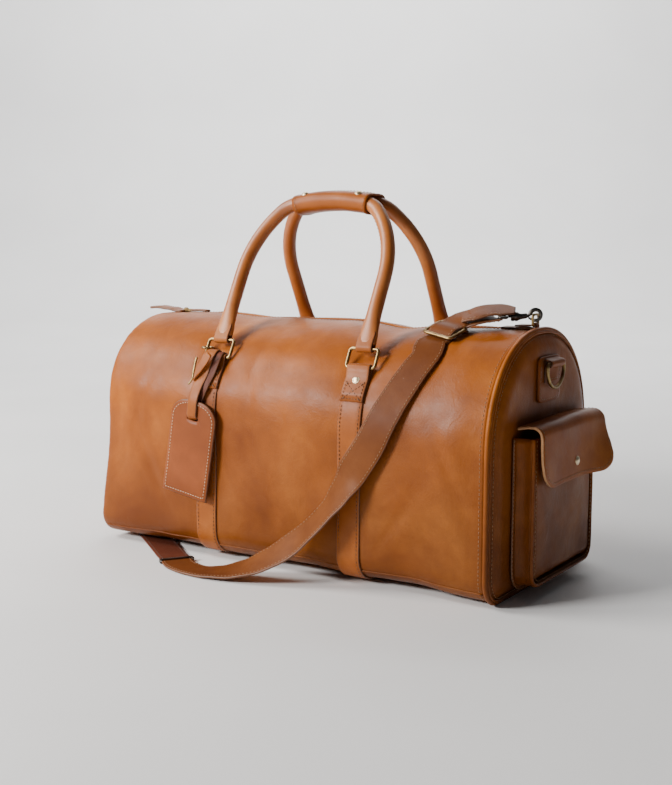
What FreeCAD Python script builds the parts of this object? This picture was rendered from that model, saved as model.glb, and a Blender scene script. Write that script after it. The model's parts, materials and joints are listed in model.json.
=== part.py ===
import FreeCAD, Part
import math
import os
from FreeCAD import Placement, Rotation, Vector

# A leather duffel bag, standing on a floor at z = 0. X runs along the bag (+X is the end with the
# pocket), -Y is the front, +Z is up, and the origin is on the floor under the middle of the barrel.

SIZES = {
    # the barrel: straight sides up to arch_base, then a half round of radius half_depth
    "barrel_length": 510.0,
    "half_depth": 121.0,
    "arch_base": 155.0,
    "base_lift": 8.0,
    "base_corner": 26.0,
    "leather": 2.2,
    "padding": 3.0,
    "board": 3.0,
    "lining_skin": 1.0,
    # the two end panels, which bulge, and the piping around them
    "end_plane": 258.0,
    "piping_radius": 3.0,
    "foot_drop": 3.0,
    "left_foot_rise": 3.2,
    "end_bulge": 10.0,
    "bulge_inset": 14.0,
    # zipper
    "zip_slot": 14.0,
    "zip_length": 490.0,
    "slider_start": -232.0,
    # the straps around the body, with the rectangular rings of the handles
    "handle_centre": -3.0,
    "handle_half": 98.0,
    "body_strap_width": 28.0,
    "body_strap_skin": 2.2,
    "ring_pivot_out": 7.0,
    "ring_pivot_angle": 38.6,
    "ring_height": 22.0,
    "ring_width": 36.0,
    "ring_wire": 1.9,
    "handle_lean": 26.9,
    # rolled handles
    "tube_radius": 8.0,
    "core_radius": 5.6,
    "grip_radius": 260.0,
    "bend_radius": 36.0,
    "leg_radius": 118.0,
    "handle_rise": 180.0,
    "wrap_half": 46.0,
    # shoulder strap
    "strap_width": 33.0,
    "strap_skin": 2.6,
    # end pocket
    "pocket_half": 77.0,
    "pocket_depth": 22.0,
    "pocket_base": 21.0,
    "pocket_top": 172.0,
    "flap_skin": 3.0,
    # end D-rings
    "d_ring_radius": 21.0,
    "d_ring_wire": 1.9,
    # luggage tag
    "tag_width": 66.0,
    "tag_height": 110.0,
    "tag_leaf": 1.8,
    "tag_tilt": 9.0,
}

doc = FreeCAD.newDocument("duffel_bag")
sheet = doc.addObject("Spreadsheet::Sheet", "Sizes")
for row, (alias, value) in enumerate(SIZES.items(), start=1):
    sheet.set(f"A{row}", alias)
    sheet.set(f"B{row}", str(value))
    sheet.setAlias(f"B{row}", alias)
doc.recompute()


def size(alias):
    return float(sheet.get(alias))


LEATHER = size("leather")
DEPTH = size("half_depth")
ARCH = size("arch_base")
X_AXIS, Y_AXIS, Z_AXIS = Vector(1, 0, 0), Vector(0, 1, 0), Vector(0, 0, 1)
NODES = []


# ---------------------------------------------------------------- helpers
def keep(obj, name, placement=None):
    """Names a finished sub-part, which is written to parts/NAME.step."""
    obj.Label = name
    if placement is not None:
        obj.Placement = placement
    NODES.append(obj)
    return obj


def feature(name, shape, placement=None):
    """A sub-part whose shape comes from Part's own functions."""
    obj = doc.addObject("Part::Feature", name)
    obj.Shape = shape
    return keep(obj, name, placement)


def box(name, low, high):
    obj = doc.addObject("Part::Box", name)
    obj.Length, obj.Width, obj.Height = (high[i] - low[i] for i in range(3))
    return keep(obj, name, Placement(Vector(*low), Rotation()))


def pad(name, plane, outlines, length, expression=None, placement=None):
    """A PartDesign body padded evenly to both sides of one of its own origin planes."""
    body = doc.addObject("PartDesign::Body", name)
    sketch = body.newObject("Sketcher::SketchObject", name + "_sketch")
    role = next(f for f in body.Origin.OriginFeatures if f.Role == plane)
    sketch.AttachmentSupport = [(role, "")]
    sketch.MapMode = "FlatFace"
    for outline in outlines:
        sketch.addGeometry(outline, False)
    piece = body.newObject("PartDesign::Pad", name + "_pad")
    piece.Profile = sketch
    piece.Midplane = True
    piece.Length = length
    if expression:
        piece.setExpression("Length", expression)
    return keep(body, name, placement)


def line(a, b):
    return Part.LineSegment(Vector(*a), Vector(*b))


def arc(a, b, c):
    return Part.ArcOfCircle(Vector(*a), Vector(*b), Vector(*c))


def polygon(points):
    return [line(p, q) for p, q in zip(points, points[1:] + points[:1])]


def tube(edges, radius):
    """A round bar along tangent edges, one solid."""
    solids = []
    for edge in edges:
        start = edge.valueAt(edge.FirstParameter)
        along = edge.tangentAt(edge.FirstParameter)
        disc = Part.Face(Part.Wire(Part.makeCircle(radius, start, along)))
        solids.append(Part.Wire([edge]).makePipe(disc))
    whole = solids[0].multiFuse(solids[1:]) if len(solids) > 1 else solids[0]
    return whole.removeSplitter()


def rod(start, end, radius):
    start, end = Vector(*start), Vector(*end)
    return Part.makeCylinder(radius, (end - start).Length, start, end - start)


def block(low, high):
    low, high = Vector(*low), Vector(*high)
    return Part.makeBox(high.x - low.x, high.y - low.y, high.z - low.z, low)


def sleeve(start, end, outer, inner):
    return rod(start, end, outer).cut(rod(start, end, inner))


def round_rect(width, height, corner, to_point):
    """Tangent edges of a rounded rectangle centred on (0, 0); to_point maps (u, v) to 3-D."""
    u, v, c = width / 2, height / 2, corner
    k = c * (1 - math.sqrt(0.5))
    edges = []
    for (a, b), (p, m, q) in (
        (((-u + c, -v), (u - c, -v)), ((u - c, -v), (u - k, -v + k), (u, -v + c))),
        (((u, -v + c), (u, v - c)), ((u, v - c), (u - k, v - k), (u - c, v))),
        (((u - c, v), (-u + c, v)), ((-u + c, v), (-u + k, v - k), (-u, v - c))),
        (((-u, v - c), (-u, -v + c)), ((-u, -v + c), (-u + k, -v + k), (-u + c, -v))),
    ):
        edges.append(Part.LineSegment(to_point(*a), to_point(*b)).toShape())
        edges.append(Part.Arc(to_point(*p), to_point(*m), to_point(*q)).toShape())
    return edges


def band(stations, width, skin):
    """A flat strap: stations are (centre, outward normal), joined by ruled lofts."""
    wires = []
    for i, (centre, normal) in enumerate(stations):
        before = stations[max(i - 1, 0)][0]
        after = stations[min(i + 1, len(stations) - 1)][0]
        along = (after - before).normalize()
        across = Vector(*normal).cross(along).normalize()
        out = along.cross(across).normalize()
        corners = [
            centre + across * (u * width / 2) + out * (v * skin / 2)
            for u, v in ((-1, -1), (1, -1), (1, 1), (-1, 1))
        ]
        wires.append(Part.makePolygon(corners + corners[:1]))
    return Part.makeLoft(wires, True, True)


# ---------------------------------------------------------------- the barrel's outline
def d_points(inset, bottom):
    """The D outline as (y, z): corner radius, side height and arch radius at an inset."""
    return size("base_corner") - inset, DEPTH - inset, bottom + inset


def d_edges(x, inset, bottom):
    """Closed tangent edges of the D outline in the plane X = x."""
    corner, half, low = d_points(inset, bottom)
    k = corner * (1 - math.sqrt(0.5))

    def at(y, z):
        return Vector(x, y, z)

    return [
        Part.LineSegment(at(-half + corner, low), at(half - corner, low)).toShape(),
        Part.Arc(at(half - corner, low), at(half - k, low + k), at(half, low + corner)).toShape(),
        Part.LineSegment(at(half, low + corner), at(half, ARCH)).toShape(),
        Part.Arc(at(half, ARCH), at(0, ARCH + half), at(-half, ARCH)).toShape(),
        Part.LineSegment(at(-half, ARCH), at(-half, low + corner)).toShape(),
        Part.Arc(at(-half, low + corner), at(-half + k, low + k), at(-half + corner, low)).toShape(),
    ]


def d_solid(x_from, x_to, inset, bottom):
    face = Part.Face(Part.Wire(d_edges(x_from, inset, bottom)))
    return face.extrude(Vector(x_to - x_from, 0, 0))


def arch_point(angle, out, side=-1):
    """(y, z) on the arch, angle in degrees up from the horizontal, out from the leather."""
    a = math.radians(angle)
    return side * (DEPTH + out) * math.cos(a), ARCH + (DEPTH + out) * math.sin(a)


def shell_outline(side, near, far, top_angle, low_y):
    """Outline of a strip that lies on the barrel from its base up one side: near and far are the
    distances of its two faces outside the leather's surface."""
    corner = size("base_corner")
    low = size("base_lift")
    lines = []
    ends = []
    for out in (near, far):
        r = corner + out
        c_y, c_z = side * (DEPTH - corner), low + corner
        k = r * math.sqrt(0.5)
        foot = (side * low_y, low - out)
        turn_in = (c_y, low - out)
        turn_out = (side * (DEPTH + out), c_z)
        spring = (side * (DEPTH + out), ARCH)
        top = arch_point(top_angle, out, side)
        middle = arch_point(top_angle / 2, out, side)
        if abs(low_y - abs(c_y)) > 0.01:
            lines.append(line((*foot, 0), (*turn_in, 0)))
        lines.append(arc((*turn_in, 0), (c_y + side * k, c_z - k, 0), (*turn_out, 0)))
        lines.append(line((*turn_out, 0), (*spring, 0)))
        lines.append(arc((*spring, 0), (*middle, 0), (*top, 0)))
        ends.append((foot, top))
    lines.append(line((*ends[0][0], 0), (*ends[1][0], 0)))
    lines.append(line((*ends[0][1], 0), (*ends[1][1], 0)))
    return lines


def make_barrel():
    gap_angle = 90 - math.degrees(math.asin(size("zip_slot") / 2 / DEPTH))
    seam = DEPTH - size("base_corner")
    for name, side in (("front_body_panel", -1), ("rear_body_panel", 1)):
        outline = shell_outline(side, -LEATHER, 0.0, gap_angle, seam)
        pad(name, "YZ_Plane", [outline], size("barrel_length"), "Sizes.barrel_length")
    half = size("barrel_length") / 2
    low = size("base_lift")
    box("bottom_panel", (-half, -seam, low), (half, seam, low + LEATHER))
    board_low = low + LEATHER
    box("base_board", (-half + 6, -seam + 2, board_low), (half - 6, seam - 2, board_low + size("board")))
    inset = LEATHER + size("padding") + 0.2
    skin = size("lining_skin")
    outer = d_solid(-half + 4, half - 4, inset, low)
    inner = d_solid(-half + 4 + skin, half - 4 - skin, inset + skin, low)
    slot = size("zip_slot") / 2
    opening = block((-half + 8, -slot, ARCH), (half - 8, slot, ARCH + DEPTH))
    feature("lining", outer.cut(inner).cut(opening))


def make_end(name, side):
    """An end panel that bulges out to a flat plateau, and the piping around it."""
    bottom = size("foot_drop") + (size("left_foot_rise") if side < 0 else 0.0)
    rim = size("piping_radius") + 0.2
    plane = size("end_plane")
    wires = []
    for shift in (0.0, -LEATHER):
        base = Part.Wire(d_edges(side * (plane + shift), rim, bottom))
        plateau_x = side * (plane + size("end_bulge") + shift)
        plateau = Part.Wire(d_edges(plateau_x, rim + size("bulge_inset"), bottom))
        wires.append(Part.makeLoft([base, plateau], True, True))
    feature(name + "_end_panel", wires[0].cut(wires[1]))
    feature(name + "_end_piping", tube(d_edges(side * plane, 0.0, bottom), size("piping_radius")))


# ---------------------------------------------------------------- zipper
ZIP_TOP = ARCH + DEPTH


def make_zipper():
    half = size("zip_length") / 2
    tape_top = ZIP_TOP - 3.2
    tapes = [block((-half, y, tape_top - 0.8), (half, y + 10.4, tape_top)) for y in (-14.0, 3.6)]
    feature("zipper_tapes", Part.makeCompound(tapes))
    teeth_low, teeth_high = tape_top - 1.7, tape_top + 1.3
    teeth = [block((-half, y, teeth_low), (half, y + 2.9, teeth_high)) for y in (-3.6, 0.7)]
    feature("zipper_teeth", Part.makeCompound(teeth))
    # the slider: two plates joined by the blade that parts the teeth, and a lug for its pull
    plate, slim = 5.5, 0.5
    low, high = teeth_low - 0.3, teeth_high + 0.4
    outline = polygon(
        [
            (-plate, low - 1.8, 0), (plate, low - 1.8, 0), (plate, low, 0), (slim, low, 0),
            (slim, high, 0), (plate, high, 0), (plate, high + 2.0, 0), (-plate, high + 2.0, 0),
            (-plate, high, 0), (-slim, high, 0), (-slim, low, 0), (-plate, low, 0),
        ]
    )
    start = size("slider_start")
    body = pad("zipper_slider", "YZ_Plane", [outline], 16.0)
    lug_z = high + 4.6
    lug = body.newObject("Sketcher::SketchObject", "zipper_slider_lug")
    plane = next(f for f in body.Origin.OriginFeatures if f.Role == "XZ_Plane")
    lug.AttachmentSupport = [(plane, "")]
    lug.MapMode = "FlatFace"
    lug.addGeometry(
        [
            line((-3.2, high + 1.5, 0), (3.2, high + 1.5, 0)),
            line((3.2, high + 1.5, 0), (3.2, lug_z, 0)),
            arc((3.2, lug_z, 0), (0, lug_z + 3.2, 0), (-3.2, lug_z, 0)),
            line((-3.2, lug_z, 0), (-3.2, high + 1.5, 0)),
            Part.Circle(Vector(0, lug_z, 0), Z_AXIS, 1.35),
        ],
        False,
    )
    lug_pad = body.newObject("PartDesign::Pad", "zipper_slider_lug_pad")
    lug_pad.Profile = lug
    lug_pad.Midplane = True
    lug_pad.Length = 3.0
    body.Tip = lug_pad
    body.Placement = Placement(Vector(start, 0, 0), Rotation())
    # the pull: a pin through the lug, two arms and a cross bar, then a leather tab
    link = rod((0, -3.4, 0), (0, 3.4, 0), 1.2)
    for y in (-3.4, 2.0):
        link = link.fuse(block((-1.2, y, -1.2), (10.0, y + 1.4, 1.2)))
    link = link.fuse(block((8.6, -3.4, -1.2), (12.0, 3.4, 1.2)))
    place = Placement(Vector(start, 0, lug_z), Rotation())
    feature("zipper_pull", link, place)
    tab = block((12.0, -4.5, -1.2), (38.0, 4.5, 1.2))
    tab = tab.makeFillet(3.0, [e for e in tab.Edges if abs(e.BoundBox.ZLength - 2.4) < 0.01
                               and e.BoundBox.XMin > 30])
    feature("zipper_pull_tab", tab, place)
    # leather tabs that close the two ends of the zipper; the left one sticks out past the end
    top = ZIP_TOP + 0.2
    over = ZIP_TOP + size("piping_radius") + 0.3
    left = polygon(
        [
            (-246, top, 0), (-252, top, 0), (-253, over, 0), (-291, over, 0),
            (-291, over + 3, 0), (-246, over + 3, 0),
        ]
    )
    pad("left_zipper_tab", "XZ_Plane", [left], 22.0)
    bar_x, bar_z = TOP_RING
    right = block((230.0, -10.0, top), (bar_x, 10.0, top + 3.0))
    right = right.fuse(rod((bar_x, -4.0, bar_z), (bar_x, 4.0, bar_z), 3.0))
    right = right.cut(rod((bar_x, -11.0, bar_z), (bar_x, 11.0, bar_z), 1.6))
    right = right.cut(block((bar_x - 3.2, 4.0, top - 1), (bar_x + 3.2, 11.0, top + 8)))
    right = right.cut(block((bar_x - 3.2, -11.0, top - 1), (bar_x + 3.2, -4.0, top + 8)))
    feature("right_zipper_tab", right)

    def ring_point(u, v):
        return Vector(bar_x, u, bar_z + 6.0 + v)

    feature("right_top_ring", tube(round_rect(14.0, 12.0, 3.0, ring_point), 1.4))


TOP_RING = (252.0, 280.2)


# ---------------------------------------------------------------- straps, rings and handles
def strap_centres():
    middle, half = size("handle_centre"), size("handle_half")
    return {"left": middle - half, "right": middle + half}


def make_body_straps():
    width, skin = size("body_strap_width"), size("body_strap_skin")
    pivot_angle = size("ring_pivot_angle")
    rivets = []
    for name, x in strap_centres().items():
        near, far = 0.05, 0.05 + skin
        front = shell_outline(-1, near, far, pivot_angle, 0.0)[:-1]
        rear = shell_outline(1, near, far, pivot_angle, 0.0)[:-1]
        # the two halves meet under the bag, so the short lines at the middle are left out
        front = [g for g in front if not _is_middle(g)]
        rear = [g for g in rear if not _is_middle(g)]
        ends = [
            line((*arch_point(pivot_angle, near, s), 0), (*arch_point(pivot_angle, far, s), 0))
            for s in (-1, 1)
        ]
        pad(name + "_body_strap", "YZ_Plane", [front + rear + ends], width,
            "Sizes.body_strap_width", Placement(Vector(x, 0, 0), Rotation()))
        for side_name, side in (("front", -1), ("rear", 1)):
            fold_near, fold_far = far + 0.02, far + 0.02 + skin
            low, high = 20.0, pivot_angle - 0.5
            mid = (low + high) / 2
            points = [arch_point(a, o, side) for a, o in
                      ((low, fold_near), (mid, fold_near), (high, fold_near),
                       (high, fold_far), (mid, fold_far), (low, fold_far))]
            at = [Vector(x - width / 2, y, z) for y, z in points]
            edges = [
                Part.Arc(at[0], at[1], at[2]).toShape(),
                Part.LineSegment(at[2], at[3]).toShape(),
                Part.Arc(at[3], at[4], at[5]).toShape(),
                Part.LineSegment(at[5], at[0]).toShape(),
            ]
            fold = Part.Face(Part.Wire(edges)).extrude(Vector(width, 0, 0))
            y, z = arch_point(pivot_angle, size("ring_pivot_out"), side)
            wire = size("ring_wire")
            loop = rod((x - width / 2, y, z), (x + width / 2, y, z), wire + 2.4)
            bore = rod((x - width, y, z), (x + width, y, z), wire + 0.2)
            feature(f"{side_name}_{name}_strap_loop", fold.fuse(loop).cut(bore))
            rivets.append(rivet(x, side, fold_far))
    feature("strap_rivets", Part.makeCompound(rivets))


def _is_middle(geometry):
    """True for the short line across a half strap's thickness at the middle of the base."""
    a, b = geometry.StartPoint, geometry.EndPoint
    return abs(a.x) < 0.01 and abs(b.x) < 0.01


def rivet(x, side, out):
    """A domed rivet cap that sits on the folded strap end."""
    angle = 33.0
    y, z = arch_point(angle, out + 0.02, side)
    y2, z2 = arch_point(angle, out + 1.02, side)
    normal = Vector(0, y2 - y, z2 - z)
    disc = Part.makeCylinder(4.2, 0.8, Vector(x, y, z), normal)
    dome = Part.makeCone(4.2, 2.4, 0.8, Vector(x, y, z) + normal * 0.8, normal)
    return disc.fuse(dome)


def ring_frame(side):
    """The ring's lower bar and upper bar as (y, z), on the front (-1) or the rear (1)."""
    y, z = arch_point(size("ring_pivot_angle"), size("ring_pivot_out"), side)
    lean = math.radians(size("handle_lean"))
    up = size("ring_height")
    return (y, z), (y - side * up * math.sin(lean), z + up * math.cos(lean))


def handle_placement(side):
    """Handles are drawn upright in XZ, then lean in over the bag from the rings' upper bars."""
    _, (y, z) = ring_frame(side)
    return Placement(Vector(size("handle_centre"), y, z),
                     Rotation(X_AXIS, side * size("handle_lean")))


def handle_edges():
    """The rolled handle's centre line, in XZ above the rings' upper bars: leg, shoulder, bend and
    grip, each tangent to the next."""
    grip, bend, leg = size("grip_radius"), size("bend_radius"), size("leg_radius")
    foot, half = CHAPE_TOP, size("handle_half")
    first = math.radians(10.4)
    c1 = (0.0, size("handle_rise") - grip)
    c2 = (c1[0] + (grip - bend) * math.sin(first), c1[1] + (grip - bend) * math.cos(first))
    second = math.asin((c2[0] + leg - half) / (leg - bend))
    c3 = (half - leg, c2[1] - (leg - bend) * math.cos(second))

    def on(centre, radius, angle, mirror):
        return Vector(mirror * (centre[0] + radius * math.sin(angle)), 0,
                      centre[1] + radius * math.cos(angle))

    right = math.pi / 2
    edges = []
    for m in (-1, 1):
        side = [
            Part.LineSegment(Vector(m * half, 0, foot), on(c3, leg, right, m)).toShape(),
            Part.Arc(on(c3, leg, right, m), on(c3, leg, (right + second) / 2, m),
                     on(c3, leg, second, m)).toShape(),
            Part.Arc(on(c2, bend, second, m), on(c2, bend, (first + second) / 2, m),
                     on(c2, bend, first, m)).toShape(),
        ]
        edges.append(side)
    grip_edge = Part.Arc(on(c1, grip, first, -1), Vector(0, 0, size("handle_rise")),
                         on(c1, grip, first, 1)).toShape()
    return edges[0] + [grip_edge] + edges[1]


CHAPE_TOP = 22.0


def make_rings_and_handles():
    wire = size("ring_wire")
    for side_name, side in (("front", -1), ("rear", 1)):
        (y0, z0), (y1, z1) = ring_frame(side)
        up = Vector(0, y1 - y0, z1 - z0).normalize()
        for name, x in strap_centres().items():
            centre = Vector(x, (y0 + y1) / 2, (z0 + z1) / 2)

            def ring_point(u, v, c=centre, d=up):
                return c + X_AXIS * u + d * v

            edges = round_rect(size("ring_width"), size("ring_height"), 3.5, ring_point)
            feature(f"{side_name}_{name}_ring", tube(edges, wire))
        place = handle_placement(side)
        edges = handle_edges()
        core = tube(edges, size("core_radius"))
        feature(f"{side_name}_handle_core", core, place)
        feature(f"{side_name}_handle_sleeve", tube(edges, size("tube_radius")).cut(core), place)
        ends = []
        for m in (-1, 1):
            x = m * size("handle_half")
            loop = rod((x - 11, 0, 0), (x + 11, 0, 0), wire + 2.5)
            tongue = block((x - 10, -4.2, 2.5), (x + 10, 4.2, CHAPE_TOP))
            bore = rod((x - 20, 0, 0), (x + 20, 0, 0), wire + 0.2)
            ends.append(loop.fuse(tongue).cut(bore))
        feature(f"{side_name}_handle_ends", Part.makeCompound(ends), place)


def grip_top():
    """Height of the two handles' centre lines at the grip."""
    _, (_, z) = ring_frame(-1)
    return z + size("handle_rise") * math.cos(math.radians(size("handle_lean")))


def make_grip_wrap():
    """A leather sleeve around both handles, bent with them, and its two snap caps on top."""
    x0, z0 = size("handle_centre"), grip_top()
    radius = 268.0
    turn = math.degrees(math.asin(size("wrap_half") / radius))

    def section(half_width, half_height):
        def point(u, v):
            return Vector(x0, u, z0 - 0.3 + v)

        wire = Part.Wire(round_rect(2 * half_width, 2 * half_height, half_height - 0.4, point))
        return Part.Face(wire)

    axis = Vector(x0, 0, z0 - radius)
    solids = []
    for half_width, half_height in ((21.2, 10.9), (19.2, 8.9)):
        face = section(half_width, half_height)
        face.rotate(axis, Y_AXIS, -turn)
        solids.append(face.revolve(axis, Y_AXIS, 2 * turn))
    feature("grip_wrap", solids[0].cut(solids[1]))
    caps = []
    for m in (-1, 1):
        angle = math.radians(m * 7.6)
        up = Vector(math.sin(angle), 0, math.cos(angle))
        base = axis + up * (radius - 0.3 + 10.95) + Vector(0, -9.0, 0)
        caps.append(Part.makeCylinder(4.0, 0.9, base, up).fuse(
            Part.makeCone(4.0, 2.6, 0.7, base + up * 0.9, up)))
    feature("grip_snap_caps", Part.makeCompound(caps))


# ---------------------------------------------------------------- ends: D-rings and pocket
def plateau():
    return size("end_plane") + size("end_bulge")


D_BAR_OUT, D_BAR_Z = 8.5, 242.0


def make_d_rings():
    """Built on the right end; the left end has the same, turned half around Z."""
    x0, wire, radius = plateau(), size("d_ring_wire"), size("d_ring_radius")
    bar_x = x0 + D_BAR_OUT
    patch = block((x0 + 0.05, -29, 200), (x0 + 2.25, 29, 250))
    corners = [e for e in patch.Edges if abs(e.BoundBox.XLength - 2.2) < 0.01]
    patch = patch.makeFillet(8.0, corners)
    loop = rod((bar_x, -17.5, D_BAR_Z), (bar_x, 17.5, D_BAR_Z), wire + 2.4)
    bore = rod((bar_x, -30, D_BAR_Z), (bar_x, 30, D_BAR_Z), wire + 0.2)
    neck = block((x0 + 1.0, -17.5, D_BAR_Z), (bar_x, 17.5, D_BAR_Z + wire + 2.4))
    tab = patch.fuse(neck).fuse(loop).cut(bore)
    corner, side = 3.5, 7.0
    k = corner * (1 - math.sqrt(0.5))

    def at(y, z):
        return Vector(bar_x, y, D_BAR_Z + z)

    edges = [
        Part.LineSegment(at(-radius + corner, 0), at(radius - corner, 0)).toShape(),
        Part.Arc(at(radius - corner, 0), at(radius - k, -k), at(radius, -corner)).toShape(),
        Part.LineSegment(at(radius, -corner), at(radius, -side)).toShape(),
        Part.Arc(at(radius, -side), at(0, -side - 0.9 * radius), at(-radius, -side)).toShape(),
        Part.LineSegment(at(-radius, -side), at(-radius, -corner)).toShape(),
        Part.Arc(at(-radius, -corner), at(-radius + k, -k), at(-radius + corner, 0)).toShape(),
    ]
    ring = tube(edges, wire)
    turned = Placement(Vector(), Rotation(Z_AXIS, 180))
    for name, place in (("right", Placement()), ("left", turned)):
        feature(name + "_ring_tab", tab.copy(), place)
        feature(name + "_d_ring", ring.copy(), place)


FLAP_HINGE_Z = 183.0
FLAP_FRONT = 24.0
FLAP_LOW = 118.0
FLAP_SIDES = (-76.0, 88.0)
SNAP_Y, SNAP_Z = 10.0, 136.0


def pocket_solid(inset, top):
    """The pocket's outer form, drawn in by inset, from the end panel out to its front."""
    x0, half, base = plateau() + 0.2, size("pocket_half"), size("pocket_base")
    front_x = x0 + size("pocket_depth") - inset
    wires = []
    for x, y, low, high in ((x0, half - inset, base + inset, top),
                            (front_x, half - 3 - inset, base + 6 + inset, top - 2)):
        corners = [Vector(x, -y, low), Vector(x, y, low), Vector(x, y, high), Vector(x, -y, high)]
        wires.append(Part.makePolygon(corners + corners[:1]))
    solid = Part.makeLoft(wires, True, True)
    edges = [e for e in solid.Edges if e.BoundBox.XMin > front_x - 0.1
             and e.BoundBox.ZLength > 100]
    return solid.makeFillet(max(8.0 - inset, 2.0), edges)


def make_pocket():
    top = size("pocket_top")
    shell = pocket_solid(0.0, top).cut(pocket_solid(LEATHER, top + 12))
    front_x = plateau() + 0.2 + size("pocket_depth")
    split = front_x - 8.0
    big = 200.0
    feature("pocket_gusset", shell.common(block((0, -big, 0), (split, big, 2 * big))))
    feature("pocket_front", shell.common(block((split, -big, 0), (2 * big, big, 2 * big))))
    # the flap: a rolled edge on its hinge line, a short shelf, a bend and the front
    skin = size("flap_skin")
    hinge_x = plateau() + 2.0
    outer_x = plateau() + FLAP_FRONT + skin + 2.0
    bend = 12.0
    top_z = FLAP_HINGE_Z + skin / 2
    k = math.sqrt(0.5)
    width = FLAP_SIDES[1] - FLAP_SIDES[0]

    def at(x, z):
        return Vector(x, FLAP_SIDES[0], z)

    c_x, c_z = outer_x - bend, top_z - bend
    inner = bend - skin
    edges = [
        Part.LineSegment(at(hinge_x, top_z), at(c_x, top_z)).toShape(),
        Part.Arc(at(c_x, top_z), at(c_x + bend * k, c_z + bend * k), at(outer_x, c_z)).toShape(),
        Part.LineSegment(at(outer_x, c_z), at(outer_x, FLAP_LOW)).toShape(),
        Part.LineSegment(at(outer_x, FLAP_LOW), at(outer_x - skin, FLAP_LOW)).toShape(),
        Part.LineSegment(at(outer_x - skin, FLAP_LOW), at(outer_x - skin, c_z)).toShape(),
        Part.Arc(at(outer_x - skin, c_z), at(c_x + inner * k, c_z + inner * k),
                 at(c_x, top_z - skin)).toShape(),
        Part.LineSegment(at(c_x, top_z - skin), at(hinge_x, top_z - skin)).toShape(),
        Part.LineSegment(at(hinge_x, top_z - skin), at(hinge_x, top_z)).toShape(),
    ]
    flap = Part.Face(Part.Wire(edges)).extrude(Vector(0, width, 0))
    corners = [e for e in flap.Edges if e.BoundBox.ZMax < FLAP_LOW + 1
               and abs(e.BoundBox.XLength - skin) < 0.01]
    flap = flap.makeFillet(28.0, corners)
    roll = rod((hinge_x, FLAP_SIDES[0], FLAP_HINGE_Z), (hinge_x, FLAP_SIDES[1], FLAP_HINGE_Z),
               skin / 2)
    feature("pocket_flap", flap.fuse(roll))
    cap = rod((outer_x, SNAP_Y, SNAP_Z), (outer_x + 0.9, SNAP_Y, SNAP_Z), 5.0)
    dome = Part.makeCone(5.0, 3.4, 0.8, Vector(outer_x + 0.9, SNAP_Y, SNAP_Z), X_AXIS)
    feature("pocket_snap_cap", cap.fuse(dome))
    stud = rod((front_x, SNAP_Y, SNAP_Z), (outer_x - skin - 0.4, SNAP_Y, SNAP_Z), 3.2)
    feature("pocket_snap_stud", stud)


# ---------------------------------------------------------------- luggage tag
def tag_anchor():
    """The middle of the front left ring's outer side bar, as (x, y, z)."""
    (y0, z0), (y1, z1) = ring_frame(-1)
    x = strap_centres()["left"] - size("ring_width") / 2
    return Vector(x, (y0 + y1) / 2, (z0 + z1) / 2)


LINK_RADIUS, LINK_WIRE = 6.5, 1.1
LINK_ANGLE = 180.0


def tag_pivot():
    """Where the tag's strap hangs on its link."""
    a = math.radians(LINK_ANGLE)
    return tag_anchor() + Vector(0, math.cos(a), math.sin(a)) * LINK_RADIUS


def make_tag():
    centre = tag_anchor()
    pivot = tag_pivot()
    across = (pivot - centre).normalize()
    link = Part.makeTorus(LINK_RADIUS, LINK_WIRE, centre, X_AXIS.cross(across))
    feature("tag_link", link)
    # the strap: an eye around the link, then a band down the front of the bag to the slot
    eye = sleeve((pivot.x - 1.5, pivot.y, pivot.z), (pivot.x + 1.5, pivot.y, pivot.z),
                 3.0, LINK_WIRE + 0.25)
    slot = TAG_SLOT
    route = [
        pivot + Vector(0, -2.1, -1.6),
        Vector(pivot.x + 1.8, -119.8, 214.0),
        Vector(slot.x - 2.2, slot.y - 1.6, 188.0),
        Vector(slot.x, slot.y - 1.6, slot.z - 0.8),
    ]
    normals = [(0, -0.88, 0.48), (0, -0.88, 0.48), (0, -0.97, 0.24), (0, -1, 0)]
    strap = band(list(zip(route, normals)), 12.0, 2.0)
    through = block((-5.8, slot.y - 2.1, -0.8), (5.8, slot.y + 4.2, 0.8))
    through.Placement = Placement(Vector(slot.x, 0, slot.z), Rotation(Y_AXIS, size("tag_tilt")))
    feature("tag_strap", strap.fuse(eye).fuse(through))
    frame_at = route[1] + Vector(-16, -1.0, 0)

    def buckle_point(u, v):
        return frame_at + X_AXIS * u + Vector(0, -0.28, -0.96) * v

    frame = tube(round_rect(14.0, 18.0, 3.0, buckle_point), 1.1)
    tail = block((frame_at.x - 5.0, frame_at.y - 0.3, frame_at.z - 4.5),
                 (frame_at.x + 9.3, frame_at.y + 1.5, frame_at.z + 4.5))
    feature("tag_buckle", frame.fuse(tail))
    leaf, width, height = size("tag_leaf"), size("tag_width"), size("tag_height")
    leaves = []
    for i in range(2):
        y = slot.y + i * leaf
        plate = block((-width / 2, y, -height + 17), (width / 2, y + leaf, 17))
        top = [e for e in plate.Edges if e.BoundBox.ZMin > 16 and e.BoundBox.YLength > 1]
        plate = plate.makeFillet(20.0, top)
        low = [e for e in plate.Edges if e.BoundBox.ZMax < -height + 18
               and abs(e.BoundBox.YLength - leaf) < 0.01 and e.BoundBox.XLength < 0.01]
        plate = plate.makeFillet(2.0, low)
        plate = plate.cut(block((-7.6, y - 1, -6.2), (7.6, y + leaf + 1, -1.3)))
        leaves.append(plate)
    place = Placement(Vector(slot.x, 0, slot.z + 3.75),
                      Rotation(Y_AXIS, size("tag_tilt")))
    feature("tag_leaves", Part.makeCompound(leaves), place)


TAG_SLOT = Vector(-113.0, -131.4, 166.0)


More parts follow.
